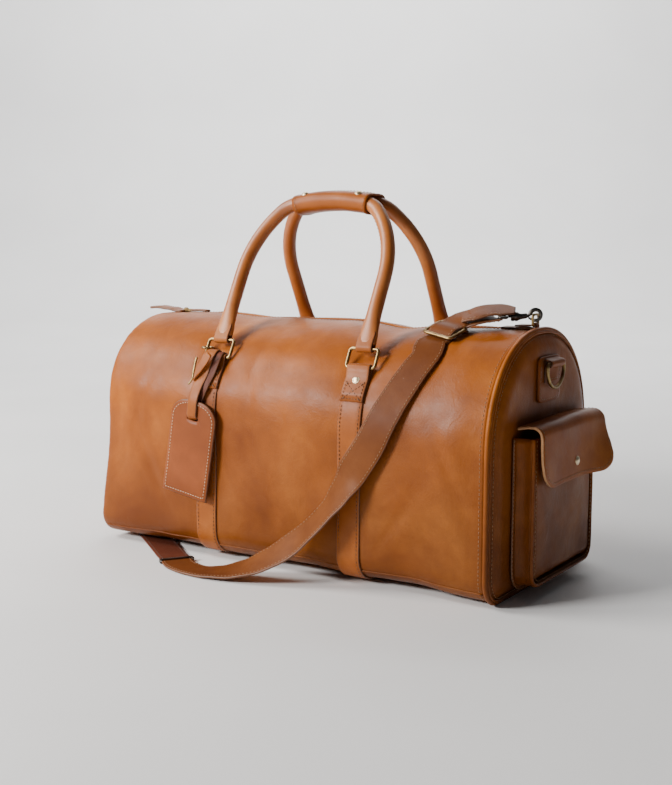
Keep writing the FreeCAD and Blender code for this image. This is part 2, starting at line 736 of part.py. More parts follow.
# ---------------------------------------------------------------- shoulder strap
def on_front(x, down, out):
    """A point out from the front leather, down along it from the top of the arch, and the normal."""
    quarter = DEPTH * math.pi / 2
    if down < quarter:
        a = down / DEPTH
        normal = Vector(0, -math.sin(a), math.cos(a))
        return Vector(x, 0, ARCH) + normal * (DEPTH + out), tuple(normal)
    return Vector(x, -DEPTH - out, ARCH - (down - quarter)), (0, -1, 0)


BUCKLE_X, BUCKLE_DOWN, BUCKLE_OUT = 171.0, 48.0, 10.0
BUCKLE_TURN = 20.0
EYE_Z = 289.8
HOOK_REACH = 38.0
RIGHT_HOOK_TURN = 25.0


def make_shoulder_strap():
    width, skin = size("strap_width"), size("strap_skin")
    buckle, normal = on_front(BUCKLE_X, BUCKLE_DOWN, BUCKLE_OUT)
    n = Vector(*normal)
    turn = math.radians(BUCKLE_TURN)
    level = X_AXIS.cross(n)
    across = (X_AXIS * math.cos(turn) + level * math.sin(turn)).normalize()
    along = across.cross(n).normalize()
    if along.y < 0:
        along = along * -1

    def buckle_point(u, v):
        return buckle + across * u + along * v

    frame = tube(round_rect(width + 5.0, 26.0, 3.0, buckle_point), 1.6)
    bar = rod(tuple(buckle_point(-width / 2 - 2, 0)), tuple(buckle_point(width / 2 + 2, 0)), 1.3)
    feature("strap_slide_buckle", frame.fuse(bar))
    dip = 1.6 + skin / 2 + 0.35
    over = 1.3 + skin / 2 + 0.15
    keeper_at = Vector(-121, -154, 2.9)
    heading = math.degrees(math.atan2(30, -40))
    ahead = Vector(-0.8, 0.6, 0)
    # down the front of the bag, off its face, and along the floor to the keeper
    front = [
        (buckle_point(0, -22.4) - n * dip, normal), (buckle_point(0, -27) - n * dip, normal),
        on_front(168, 86, 3.6), on_front(161, 105, 2.8), on_front(151, 132, 2.6),
        on_front(139, 160, 3.6), on_front(125, 188, 6.8), on_front(108, 214, 9.8),
        (Vector(92, -134, 106), (-0.3, -0.85, 0.35)),
        (Vector(76, -138, 83), (-0.45, -0.7, 0.52)),
        (Vector(58, -144, 62), (-0.4, -0.68, 0.58)),
        (Vector(37, -152, 42), (-0.22, -0.72, 0.66)),
        (Vector(12, -161, 25), (-0.1, -0.55, 0.83)),
        (Vector(-18, -169, 12), (0, -0.3, 0.95)),
        (Vector(-50, -174, 5), (0, -0.1, 1)),
        (Vector(-78, -173, 2.2), (0, 0, 1)),
        (keeper_at - ahead * 18 + Vector(0, 0, -0.7), (0, 0, 1)),
        (keeper_at - ahead * 4, (0, 0, 1)),
        (keeper_at - ahead * 0.3, (0, 0, 1)),
    ]
    feature("shoulder_strap_front", band(front, width, skin))
    outer = block((-3, -20, -2.9), (3, 20, 2.9))
    inner = block((-4, -width / 2 - 0.6, -1.6), (4, width / 2 + 0.6, 1.6))
    feature("strap_keeper", outer.cut(inner), Placement(keeper_at, Rotation(Z_AXIS, heading)))
    rear = [
        (keeper_at + ahead * 0.3, (0, 0, 1)), (keeper_at + ahead * 4, (0, 0, 1)),
        (Vector(-145, -136, 1.6), (0, 0, 1)), (Vector(-177, -112, 1.5), (0, 0, 1)),
        (Vector(-209, -88.5, 1.5), (0, 0, 1)), (Vector(-240, -66, 1.5), (0, 0, 1)),
        (Vector(-272, -44, 1.5), (0, 0, 1)), (Vector(-292, -31, 5), (0.45, 0, 1)),
        (Vector(-305, -22, 18), (0.9, 0, 0.5)), (Vector(-311, -14, 42), (1, 0, 0.15)),
        (Vector(-311, -7, 75), (1, 0, 0)), (Vector(-306, -2, 110), (1, 0, -0.12)),
        (Vector(-297, 0, 140), (1, 0, -0.25)), (Vector(-285, 0, 162), (1, 0, -0.4)),
    ]
    eye_x = left_hook_x() + HOOK_DROP
    turn_z = D_HOOK_Z - HOOK_REACH
    loop_r = 1.6 + 0.2 + skin / 2
    rear += [
        (Vector(eye_x - loop_r * math.cos(math.radians(a)), 0,
                turn_z + loop_r * math.sin(math.radians(a))),
         (math.cos(math.radians(a)), 0, -math.sin(math.radians(a))))
        for a in (0, 45, 90, 135, 180)
    ]
    rear.append((Vector(eye_x + loop_r, 0, turn_z - 14), (-1, 0, 0)))
    feature("shoulder_strap_rear", band(rear, width, skin))
    # through the buckle, up to the hook's eye, around it and back under to the buckle's bar
    spin = Rotation(Z_AXIS, RIGHT_HOOK_TURN)
    out_x = spin.multVec(X_AXIS)
    eye = Vector(TOP_RING[0], 0, EYE_Z) - out_x * HOOK_REACH
    rise = Vector(0, 0, 1)
    loop = [
        (buckle_point(0, -22) - n * dip, normal),
        (buckle_point(0, -12.5) - n * dip, normal),
        (buckle_point(0, -7) + n * 0.4, normal),
        (buckle_point(0, 0) + n * over, normal),
        (buckle_point(0, 7) + n * 0.4, normal),
        (buckle_point(0, 12.5) - n * dip, normal),
        (buckle_point(0, 20) - n * (dip + 1.6), normal),
        (eye - out_x * 19 + rise * -0.5, (-0.2, -0.2, 1)),
        (eye - out_x * 11 + rise * 3.4, (-0.1, -0.1, 1)),
        (eye - out_x * 4 + rise * 3.4, (0, 0, 1)),
    ]
    for a in (90, 45, 0, -45, -90):
        s, c = math.sin(math.radians(a)), math.cos(math.radians(a))
        loop.append((eye + out_x * (loop_r * c) + rise * (loop_r * s), tuple(out_x * c + rise * s)))
    loop += [
        (eye - out_x * 4 - rise * 3.4, (0, 0, -1)),
        (eye - out_x * 12 - rise * 5.5, (0.1, 0.1, -1)),
        (eye - out_x * 22 - rise * 9.6, (0.2, 0.2, -1)),
        (buckle_point(0, 17) - n * (dip + skin + 2.0), tuple(n * -1)),
        (buckle_point(0, 8) - n * (dip + skin + 0.3), tuple(n * -1)),
    ]
    feature("shoulder_strap_loop", band(loop, width, skin))


D_HOOK_Z = 214.9
HOOK_DROP = 1.9


def left_hook_x():
    """The left hook hangs a little outside the bar of its D-ring."""
    return -(plateau() + D_BAR_OUT + 1.0)


def make_hooks():
    """Snap hooks, drawn with the bow's centre at the origin and the strap's eye towards -X."""
    bow_r, wire, low = 5.3, 1.5, -HOOK_DROP

    def at(angle, radius=bow_r):
        a = math.radians(angle)
        return Vector(radius * math.cos(a), 0, radius * math.sin(a))

    bow = tube([Part.Arc(at(180), at(30), at(-112)).toShape()], wire)
    shank = rod((-19, 0, low), (-5.1, 0, -0.6), 1.9)
    barrel = rod((-25, 0, low), (-18, 0, low), 3.8)
    socket = rod((-25, 0, low), (-21, 0, low), 1.65)
    lugs = [block((-8.2, y, -4.6), (-5.0, y + 1.0, -1.2)) for y in (-2.6, 1.6)]
    body = bow.fuse(shank).fuse(barrel).cut(socket)
    gate = rod((-6.6, 0, -3.4), (-3.6, 0, -5.2), 1.2)
    pivot = rod((-6.6, -1.5, -3.4), (-6.6, 1.5, -3.4), 1.2)
    body = body.fuse(lugs[0]).fuse(lugs[1]).cut(block((-9, -1.6, -6), (-4.6, 1.6, -1.75)))

    def eye_point(u, v):
        return Vector(-34 + v, u, low)

    eye = tube(round_rect(size("strap_width") + 6.4, 8.0, 2.6, eye_point), 1.6)
    stem = rod((-30, 0, low), (-21.3, 0, low), 1.55)
    eye = eye.fuse(stem)
    gate = gate.fuse(pivot)
    right = Placement(Vector(TOP_RING[0], 0, EYE_Z - low), Rotation(Z_AXIS, RIGHT_HOOK_TURN))
    left = Placement(Vector(left_hook_x(), 0, D_HOOK_Z), Rotation(Y_AXIS, -90))
    for name, place in (("right", right), ("left", left)):
        feature(name + "_hook_eye", eye.copy(), place)
        feature(name + "_hook_body", body.copy(), place)
        feature(name + "_hook_gate", gate.copy(), place)


# ---------------------------------------------------------------- build, test and write
def check_document():
    doc.recompute()
    for obj in doc.Objects:
        bad = [state for state in obj.State if state in ("Invalid", "Error")]
        if bad:
            raise SystemExit(f"{obj.Name} failed: {bad}")
    for obj in NODES:
        if obj.Shape.isNull() or not obj.Shape.isValid() or not obj.Shape.Solids:
            raise SystemExit(f"{obj.Label} has no valid solid")


def write_parts():
    os.makedirs("parts", exist_ok=True)
    for obj in NODES:
        obj.Shape.exportStep(f"parts/{obj.Label}.step")


make_barrel()
make_end("right", 1)
make_end("left", -1)
make_zipper()
make_body_straps()
make_rings_and_handles()
make_grip_wrap()
make_d_rings()
make_pocket()
make_tag()
make_shoulder_strap()
make_hooks()
check_document()
write_parts()
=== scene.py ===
import json
import math

import bmesh
import bpy
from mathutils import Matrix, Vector, noise


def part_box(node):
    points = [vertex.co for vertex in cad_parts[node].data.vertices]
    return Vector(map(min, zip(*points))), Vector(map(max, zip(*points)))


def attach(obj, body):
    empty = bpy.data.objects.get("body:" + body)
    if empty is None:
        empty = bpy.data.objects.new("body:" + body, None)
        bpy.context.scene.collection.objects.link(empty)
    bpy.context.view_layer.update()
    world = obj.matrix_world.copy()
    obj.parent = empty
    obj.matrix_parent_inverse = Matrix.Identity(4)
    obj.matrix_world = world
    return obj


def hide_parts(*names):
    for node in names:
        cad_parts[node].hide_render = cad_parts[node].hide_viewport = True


# Leather duffel bag. Lengths in this script are millimetres in the bag's own frame, turned into
# metres when a mesh is made. X runs along the bag, -Y is the front, Z is up.

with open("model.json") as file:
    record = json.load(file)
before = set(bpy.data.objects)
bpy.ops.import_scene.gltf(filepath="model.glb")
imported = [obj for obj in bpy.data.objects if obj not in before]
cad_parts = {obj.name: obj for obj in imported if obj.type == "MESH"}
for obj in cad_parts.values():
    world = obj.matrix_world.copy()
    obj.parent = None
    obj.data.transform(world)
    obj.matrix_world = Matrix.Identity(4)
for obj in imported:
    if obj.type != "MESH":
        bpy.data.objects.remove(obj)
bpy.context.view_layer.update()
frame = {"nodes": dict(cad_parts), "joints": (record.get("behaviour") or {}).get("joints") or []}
JOINTS = {j["name"]: j for j in frame["joints"]}


def mm(node):
    low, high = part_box(node)
    return low * 1000, high * 1000


def joint_mm(name):
    return Vector(JOINTS[name]["pos_m"]) * 1000


# ------------------------------------------------------------------ camera
VIEW_TURN = math.radians(33.63)
VIEW_RISE = math.radians(7.77)
VIEW_DISTANCE = 1.4446
VIEW_TARGET = Vector((-0.0022, 0.0, 0.1895))
LENS = 55.85

def make_camera():
    data = bpy.data.cameras.new("camera")
    data.lens = LENS
    data.sensor_width = 36.0
    data.clip_start = 0.02
    cam = bpy.data.objects.new("camera", data)
    bpy.context.scene.collection.objects.link(cam)
    a, e = VIEW_TURN, VIEW_RISE
    back = Vector((math.sin(a) * math.cos(e), -math.cos(a) * math.cos(e), math.sin(e)))
    cam.location = VIEW_TARGET + back * VIEW_DISTANCE
    cam.rotation_euler = back.to_track_quat("Z", "Y").to_euler()
    bpy.context.scene.camera = cam


# ------------------------------------------------------------------ materials
class Nodes:
    """A short way to write shader nodes."""

    def __init__(self, name):
        self.mat = bpy.data.materials.new(name)
        self.mat.use_nodes = True
        self.tree = self.mat.node_tree
        self.bsdf = self.tree.nodes["Principled BSDF"]
        self.coords = self.tree.nodes.new("ShaderNodeTexCoord").outputs["Object"]

    def link(self, a, b):
        self.tree.links.new(a, b)

    def set(self, **values):
        for key, value in values.items():
            self.bsdf.inputs[key.replace("_", " ")].default_value = value

    def stretched(self, scale):
        node = self.tree.nodes.new("ShaderNodeMapping")
        node.inputs["Scale"].default_value = scale
        self.link(self.coords, node.inputs["Vector"])
        return node.outputs["Vector"]

    def noise(self, scale, detail=3.0, rough=0.55, distortion=0.0, coords=None):
        node = self.tree.nodes.new("ShaderNodeTexNoise")
        node.inputs["Scale"].default_value = scale
        node.inputs["Detail"].default_value = detail
        node.inputs["Roughness"].default_value = rough
        node.inputs["Distortion"].default_value = distortion
        self.link(coords or self.coords, node.inputs["Vector"])
        return node.outputs["Fac"]

    def cells(self, scale, feature="F1"):
        node = self.tree.nodes.new("ShaderNodeTexVoronoi")
        node.feature = feature
        node.inputs["Scale"].default_value = scale
        self.link(self.coords, node.inputs["Vector"])
        return node.outputs["Distance"]

    def ramp(self, fac, stops):
        node = self.tree.nodes.new("ShaderNodeValToRGB")
        ramp = node.color_ramp
        while len(ramp.elements) < len(stops):
            ramp.elements.new(0.5)
        for element, (place, colour) in zip(ramp.elements, stops):
            element.position = place
            element.color = (*colour, 1.0) if len(colour) == 3 else colour
        self.link(fac, node.inputs["Fac"])
        return node.outputs["Color"]

    def range(self, value, low, high, to_low, to_high):
        node = self.tree.nodes.new("ShaderNodeMapRange")
        for key, v in zip(("From Min", "From Max", "To Min", "To Max"), (low, high, to_low, to_high)):
            node.inputs[key].default_value = v
        self.link(value, node.inputs["Value"])
        return node.outputs["Result"]

    def mix(self, fac, a, b, blend="MIX"):
        node = self.tree.nodes.new("ShaderNodeMix")
        node.data_type = "RGBA"
        node.blend_type = blend
        for socket, value in ((node.inputs["Factor"], fac), (node.inputs["A"], a), (node.inputs["B"], b)):
            if isinstance(value, (int, float)):
                socket.default_value = value
            elif isinstance(value, tuple):
                socket.default_value = (*value, 1.0)
            else:
                self.link(value, socket)
        return next(o for o in node.outputs if o.type == "RGBA")

    def math(self, operation, a, b):
        node = self.tree.nodes.new("ShaderNodeMath")
        node.operation = operation
        for socket, value in zip(node.inputs, (a, b)):
            if isinstance(value, (int, float)):
                socket.default_value = value
            else:
                self.link(value, socket)
        return node.outputs["Value"]

    def bump(self, height, distance, strength=1.0, after=None):
        node = self.tree.nodes.new("ShaderNodeBump")
        node.inputs["Distance"].default_value = distance
        node.inputs["Strength"].default_value = strength
        self.link(height, node.inputs["Height"])
        if after is not None:
            self.link(after, node.inputs["Normal"])
        return node.outputs["Normal"]


def leather(name, dark, mid, light, rough=0.40, grain=1.0, wear=0.4, painted_shade_low=1.0, gloss=0.17):
    n = Nodes(name)
    cloud = n.noise(7.0, 4.0, 0.6, 0.4)
    base = n.ramp(cloud, [(0.30, dark), (0.52, mid), (0.72, light)])
    mottle = n.noise(55.0, 5.0, 0.62, 0.3)
    base = n.mix(n.range(mottle, 0.35, 0.75, 0.0, 0.38), base, dark)
    speck = n.noise(900.0, 2.0, 0.5)
    base = n.mix(n.range(speck, 0.55, 0.8, 0.0, 0.35), base, dark)
    scuffs = n.noise(14.0, 8.0, 0.75, 1.4, n.stretched((1.0, 1.0, 2.4)))
    base = n.mix(n.range(scuffs, 0.60, 0.74, 0.0, wear), base, light)
    if painted_shade_low < 1.0:
        # painted shade: the colour is multiplied darker towards the base and towards the pocketed right end, standing
        # in for the shade there
        split = n.tree.nodes.new("ShaderNodeSeparateXYZ")
        n.link(n.coords, split.inputs["Vector"])
        shade_level = n.math("ADD", split.outputs["Z"], n.math("MULTIPLY", n.noise(9.0), 0.09))
        shade_level = n.math("ADD", shade_level, n.math("MULTIPLY", split.outputs["X"], -0.20))
        shade = n.range(shade_level, 0.045, 0.27, painted_shade_low, 1.0)
        base = n.mix(1.0, base, shade, "MULTIPLY")
    n.link(base, n.bsdf.inputs["Base Color"])
    roughness = n.range(n.noise(26.0, 6.0, 0.6), 0.3, 0.7, rough - 0.07, rough + 0.11)
    n.link(roughness, n.bsdf.inputs["Roughness"])
    n.set(Specular_IOR_Level=gloss)
    pebble = n.cells(620.0, "SMOOTH_F1")
    fine = n.noise(1500.0, 3.0, 0.6)
    crease = n.noise(38.0, 6.0, 0.6, 1.2)
    first = n.bump(crease, 0.0012 * grain, 0.45)
    second = n.bump(pebble, 0.00018 * grain, 0.45, first)
    third = n.bump(fine, 0.00008, 0.6, second)
    n.link(third, n.bsdf.inputs["Normal"])
    return n.mat


def thread(name, colour):
    n = Nodes(name)
    twist = n.noise(2600.0, 2.0)
    dark = tuple(c * 0.62 for c in colour)
    n.link(n.ramp(twist, [(0.35, dark), (0.65, colour)]), n.bsdf.inputs["Base Color"])
    n.set(Roughness=0.62, Sheen_Weight=0.2)
    n.link(n.bump(twist, 0.00012, 0.6), n.bsdf.inputs["Normal"])
    return n.mat


def cloth(name, colour, scale):
    n = Nodes(name)
    warp = n.tree.nodes.new("ShaderNodeTexWave")
    warp.inputs["Scale"].default_value = scale
    warp.inputs["Distortion"].default_value = 0.6
    n.link(n.coords, warp.inputs["Vector"])
    weft = n.tree.nodes.new("ShaderNodeTexWave")
    weft.bands_direction = "Y"
    weft.inputs["Scale"].default_value = scale
    weft.inputs["Distortion"].default_value = 0.6
    n.link(n.coords, weft.inputs["Vector"])
    weave = n.math("MULTIPLY", warp.outputs["Fac"], weft.outputs["Fac"])
    dark = tuple(c * 0.5 for c in colour)
    n.link(n.ramp(weave, [(0.1, dark), (0.7, colour)]), n.bsdf.inputs["Base Color"])
    n.set(Roughness=0.85, Sheen_Weight=0.3)
    n.link(n.bump(weave, 0.0003, 0.6), n.bsdf.inputs["Normal"])
    return n.mat


def metal(name, bright, dull, rough=0.24):
    n = Nodes(name)
    patina = n.noise(75.0, 6.0, 0.65, 0.6)
    n.link(n.ramp(patina, [(0.36, dull), (0.60, bright)]), n.bsdf.inputs["Base Color"])
    n.link(n.range(n.noise(160.0, 5.0), 0.3, 0.7, rough - 0.06, rough + 0.16), n.bsdf.inputs["Roughness"])
    n.set(Metallic=1.0)
    n.link(n.bump(n.noise(700.0, 3.0), 0.00006, 0.5), n.bsdf.inputs["Normal"])
    return n.mat


def plain(name, colour, rough, scale):
    n = Nodes(name)
    spots = n.noise(scale, 4.0)
    dark = tuple(c * 0.7 for c in colour)
    n.link(n.ramp(spots, [(0.35, dark), (0.65, colour)]), n.bsdf.inputs["Base Color"])
    n.set(Roughness=rough)
    n.link(n.bump(spots, 0.0002, 0.4), n.bsdf.inputs["Normal"])
    return n.mat


# the body leather carries painted shade, darker towards the base and the pocketed end
TAN = leather("tan_leather", (0.200, 0.047, 0.005), (0.35, 0.092, 0.009), (0.49, 0.152, 0.022), painted_shade_low=0.46)
STRAP = leather("strap_leather", (0.19, 0.047, 0.007), (0.32, 0.086, 0.012), (0.43, 0.140, 0.028), grain=0.6)
# the shoulder strap's leather: darker than the strap leather, partly its own darker brown and partly painted shade,
# mostly for its upward-facing lower run
SHOULDER = leather("shoulder_leather", (0.090, 0.023, 0.005), (0.150, 0.044, 0.009), (0.215, 0.070, 0.019),
                   rough=0.48, grain=0.6, gloss=0.12)
HANDLE = leather("handle_leather", (0.26, 0.070, 0.012), (0.42, 0.125, 0.022), (0.56, 0.20, 0.050), grain=0.5,
                 gloss=0.6)
TAG = leather("tag_leather", (0.17, 0.040, 0.008), (0.245, 0.061, 0.014), (0.32, 0.088, 0.024), grain=0.6)
DARK = leather("dark_leather", (0.075, 0.018, 0.009), (0.125, 0.033, 0.016), (0.19, 0.058, 0.030), rough=0.5)
EDGE = plain("cut_edge", (0.17, 0.060, 0.020), 0.5, 400.0)
PALE_EDGE = plain("pale_cut_edge", (0.50, 0.25, 0.11), 0.5, 400.0)
THREAD = thread("tan_thread", (0.34, 0.165, 0.062))
# dark thread for the body straps: partly the thread's colour, partly painted shade of the sunken stitch rows
SEAM_THREAD = thread("seam_thread", (0.17, 0.072, 0.026))
DARK_THREAD = thread("dark_thread", (0.085, 0.034, 0.018))
PALE_THREAD = thread("pale_thread", (0.72, 0.52, 0.33))
BRASS = metal("antique_brass", (0.42, 0.285, 0.12), (0.19, 0.115, 0.048), 0.32)
BRIGHT = metal("bright_brass", (0.86, 0.72, 0.50), (0.66, 0.50, 0.30), 0.30)
# dark metal: the strap keeper's own finish; on the snap hooks it is painted shade, brass hardware darkened as if in
# shade
DARK_METAL_AND_SHADE = metal("dark_metal", (0.115, 0.105, 0.095), (0.050, 0.045, 0.040), 0.30)
TAPE = cloth("zipper_cloth", (0.10, 0.055, 0.030), 900.0)
LINING = cloth("lining_cloth", (0.32, 0.26, 0.19), 500.0)
FOAM = plain("handle_core", (0.09, 0.08, 0.07), 0.8, 300.0)
BOARD = plain("stiffener", (0.06, 0.06, 0.06), 0.7, 90.0)


# ------------------------------------------------------------------ mesh building
class Builder:
    """Collects sweeps, grids and stitches in millimetres, and makes one mesh object of them."""

    def __init__(self):
        self.verts = []
        self.faces = []
        self.slots = []

    def sweep(self, frames, section, slot=0, ring=False, slots=None):
        """frames: (centre, u axis, v axis). section: [(u, v)] or a function of the frame's index."""
        start = len(self.verts)
        count = 0
        for i, (c, u, v) in enumerate(frames):
            points = section(i) if callable(section) else section
            count = len(points)
            self.verts += [c + u * a + v * b for a, b in points]
        rows = len(frames)
        for i in range(rows if ring else rows - 1):
            a, b = start + i * count, start + ((i + 1) % rows) * count
            for k in range(count):
                m = (k + 1) % count
                self.faces.append((a + k, a + m, b + m, b + k))
                self.slots.append(slots[k] if slots else slot)
        if not ring:
            self.faces.append(tuple(start + k for k in range(count))[::-1])
            self.faces.append(tuple(start + (rows - 1) * count + k for k in range(count)))
            self.slots += [slots[0] if slots else slot] * 2

    def grid(self, rows, slot=0, wrap=False):
        start, wide = len(self.verts), len(rows[0])
        for row in rows:
            self.verts += row
        for i in range(len(rows) - 1):
            for k in range(wide if wrap else wide - 1):
                a, b = start + i * wide, start + (i + 1) * wide
                m = (k + 1) % wide
                self.faces.append((a + k, b + k, b + m, a + m))
                self.slots.append(slot)

    def stitches(self, points, normals, pitch=4.4, long=3.1, radius=0.42, slot=1, lift=0.12, closed=False):
        """A row of thread stitches along points, each bent down into the leather at its ends."""
        if closed:
            points, normals = points + points[:1], normals + normals[:1]
        lengths = [(q - p).length for p, q in zip(points, points[1:])]
        total = sum(lengths)
        number = max(int(total / pitch), 1)
        step = total / number

        def at(d):
            d = min(max(d, 0.0), total - 1e-6)
            for k, length in enumerate(lengths):
                if d <= length:
                    f = d / max(length, 1e-9)
                    return points[k].lerp(points[k + 1], f), normals[k].lerp(normals[k + 1], f).normalized()
                d -= length
            return points[-1], normals[-1]

        for j in range(number):
            mid = (j + 0.5) * step
            (p0, n0), (p1, n1), (p2, n2) = at(mid - long / 2), at(mid), at(mid + long / 2)
            along = p2 - p0
            if along.length < 1e-6:
                continue
            side = along.normalized().cross(n1).normalized()
            first = len(self.verts)
            self.verts.append(p0 - n0 * radius * 0.7)
            for f in (0.2, 0.5, 0.8):
                centre = p0.lerp(p2, f) + (p1 - p0.lerp(p2, 0.5)) + n1 * (lift if f == 0.5 else 0.0)
                for k in range(6):
                    a = k * math.pi / 3
                    r = radius * (1.0 if f == 0.5 else 0.86)
                    self.verts.append(centre + side * (r * math.cos(a)) + n1 * (r * math.sin(a)))
            self.verts.append(p2 - n2 * radius * 0.7)
            last = len(self.verts) - 1
            for k in range(6):
                m = (k + 1) % 6
                self.faces.append((first, first + 1 + m, first + 1 + k))
                self.faces.append((last, last - 6 + k, last - 6 + m))
                for r in (0, 6):
                    a = first + 1 + r
                    self.faces.append((a + k, a + m, a + m + 6, a + k + 6))
                self.slots += [slot] * 4

    def sew(self, found, **how):
        """Stitches along (point, normal) pairs."""
        self.stitches([p for p, _ in found], [n for _, n in found], **how)

    def dome(self, centre, normal, radius, height, slot=0, rim=0.5):
        """A domed round cap with a rolled rim."""
        u = normal.orthogonal().normalized()
        v = normal.cross(u)
        rows = []
        profile = [(1.0, -0.8), (1.03, 0.0), (1.0, rim * 0.8), (0.92, rim), (0.86, rim * 0.8)]
        profile += [(0.84 * math.cos(a), rim * 0.8 + (height - rim * 0.8) * math.sin(a))
                    for a in (0.25, 0.6, 0.95, 1.25, 1.5)]
        for r, z in profile:
            rows.append([centre + normal * z + (u * math.cos(t) + v * math.sin(t)) * (r * radius)
                         for t in (k * math.tau / 28 for k in range(28))])
        self.grid(rows, slot, wrap=True)
        self.faces.append(tuple(len(self.verts) - 28 + k for k in range(28)))
        self.slots.append(slot)

    def done(self, name, body, materials, replaces=(), solid=0.0, smooth=True):
        """Makes the object: it rides on body and replaces CAD nodes. solid is a thickness to add inwards."""
        mesh = bpy.data.meshes.new(name)
        mesh.from_pydata([v * 0.001 for v in self.verts], [], self.faces)
        for m in materials:
            mesh.materials.append(m)
        for polygon, index in zip(mesh.polygons, self.slots):
            polygon.material_index = index
        work = bmesh.new()
        work.from_mesh(mesh)
        bmesh.ops.recalc_face_normals(work, faces=work.faces)
        work.to_mesh(mesh)
        work.free()
        for polygon in mesh.polygons:
            polygon.use_smooth = smooth
        obj = bpy.data.objects.new(name, mesh)
        bpy.context.scene.collection.objects.link(obj)
        if solid:
            shell = obj.modifiers.new("thickness", "SOLIDIFY")
            shell.thickness = solid * 0.001
            shell.offset = -1.0
        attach(obj, body)
        if replaces:
            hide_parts(*replaces)
        return obj


def smooth01(x):
    x = min(max(x, 0.0), 1.0)
    return x * x * (3 - 2 * x)


def wobble(x, y, z, scale):
    return noise.noise(Vector((x, y, z)) * scale)


def ellipse(a, b, count=20, power=2.0):
    points = []
    for k in range(count):
        t = k * math.tau / count
        c, s = math.cos(t), math.sin(t)
        points.append((a * math.copysign(abs(c) ** (2 / power), c), b * math.copysign(abs(s) ** (2 / power), s)))
    return points


def strap_section(width, thick, crown=0.25, round_off=0.85):
    """A flat strap's cross-section with rounded cut edges; the first points are the lower face."""
    w, t = width / 2, thick / 2
    r = min(round_off, t * 0.95)
    low = [(-w + r, -t), (-w * 0.5, -t), (0, -t), (w * 0.5, -t), (w - r, -t)]
    right = [(w - r * 0.3, -t + r * 0.3), (w, -t + r), (w, t - r), (w - r * 0.3, t - r * 0.3)]
    high = [(w - r, t), (w * 0.8, t + crown * 0.6), (w * 0.4, t + crown), (0, t + crown), (-w * 0.4, t + crown),
            (-w * 0.8, t + crown * 0.6), (-w + r, t)]
    left = [(-w + r * 0.3, t - r * 0.3), (-w, t - r), (-w, -t + r), (-w + r * 0.3, -t + r * 0.3)]
    points = low + right + high + left
    slots = [0] * 4 + [2] * 5 + [0] * 6 + [2] * 5
    return points, slots


def tangent(points, i):
    """The direction of a line of points at its i-th point."""
    return (points[min(i + 1, len(points) - 1)] - points[max(i - 1, 0)]).normalized()

def ring_frames(corners, axis):
    """Frames round a closed wire that lies flat across axis."""
    count = len(corners)
    return [(p, (corners[(i + 1) % count] - corners[i - 1]).normalized().cross(axis).normalized(), axis)
            for i, p in enumerate(corners)]

def flat_frames(points, outs):
    """Frames of a flat strap: u across it, v out of its face."""
    frames = []
    for i, (p, out) in enumerate(zip(points, outs)):
        along = tangent(points, i)
        u = along.cross(out).normalized()
        frames.append((p, u, u.cross(along).normalized()))
    return frames


def spline(points, normals, step=5.0):
    """A smooth curve through the stations, with normals blended along it."""
    out_points, out_normals = [], []
    for i in range(len(points) - 1):
        p0, p1 = points[max(i - 1, 0)], points[i]
        p2, p3 = points[i + 1], points[min(i + 2, len(points) - 1)]
        d0, d1, d2 = ((b - a).length ** 0.5 + 1e-6 for a, b in ((p0, p1), (p1, p2), (p2, p3)))
        m1 = ((p1 - p0) / d0 - (p2 - p0) / (d0 + d1) + (p2 - p1) / d1) * d1 if i else (p2 - p1)
        m2 = ((p2 - p1) / d1 - (p3 - p1) / (d1 + d2) + (p3 - p2) / d2) * d1 if i < len(points) - 2 else (p2 - p1)
        count = max(int((p2 - p1).length / step), 1)
        for k in range(count):
            f = k / count
            h = ((2 * f ** 3 - 3 * f ** 2 + 1), (f ** 3 - 2 * f ** 2 + f),
                 (-2 * f ** 3 + 3 * f ** 2), (f ** 3 - f ** 2))
            out_points.append(p1 * h[0] + m1 * h[1] + p2 * h[2] + m2 * h[3])
            out_normals.append(normals[i].lerp(normals[i + 1], smooth01(f)).normalized())
    return out_points + [points[-1]], out_normals + [normals[-1].normalized()]


def through(stations, step):
    """The spline through (point, normal) stations."""
    return spline([p for p, _ in stations], [o for _, o in stations], step)

def strap_piece(name, points, outs, width, thick, replaces, materials, faces=(1,)):
    """A strap of the bag with cut edges, and a row of stitches near each edge of the faces named."""
    b = Builder()
    frames = flat_frames(points, outs)
    section, slots = strap_section(width, thick)
    b.sweep(frames, section, slots=slots)
    for side in (-1, 1):
        for face in faces:
            line = [c + u * (side * (width / 2 - 3.0)) + v * face * (thick / 2 + 0.12) for c, u, v in frames]
            b.stitches(line, [v * face for _, _, v in frames])
    return b.done(name, "bag", materials, replaces)


# ------------------------------------------------------------------ the barrel's skin
FRONT_LOW, FRONT_HIGH = mm("front_body_panel")
BOTTOM_LOW, BOTTOM_HIGH = mm("bottom_panel")
HALF = FRONT_HIGH.x
DEPTH = -FRONT_LOW.y
SLOT = -FRONT_HIGH.y
ARCH = FRONT_HIGH.z - math.sqrt(DEPTH ** 2 - SLOT ** 2)
BASE = BOTTOM_LOW.z
SEAM = BOTTOM_HIGH.y
CORNER = DEPTH - SEAM
TOP_ANGLE = math.acos(SLOT / DEPTH)
LEN_ARCH = DEPTH * TOP_ANGLE
LEN_SIDE = ARCH - BASE - CORNER
LEN_CORNER = CORNER * math.pi / 2
LEN_PANEL = LEN_ARCH + LEN_SIDE + LEN_CORNER
LEN_AROUND = 2 * LEN_PANEL + 2 * SEAM
STRAP_X = {side: (mm(f"{side}_body_strap")[0].x + mm(f"{side}_body_strap")[1].x) / 2
           for side in ("left", "right")}
END_FLOOR = {"left": mm("left_end_panel")[0].z - 3.2, "right": mm("right_end_panel")[0].z - 3.2}


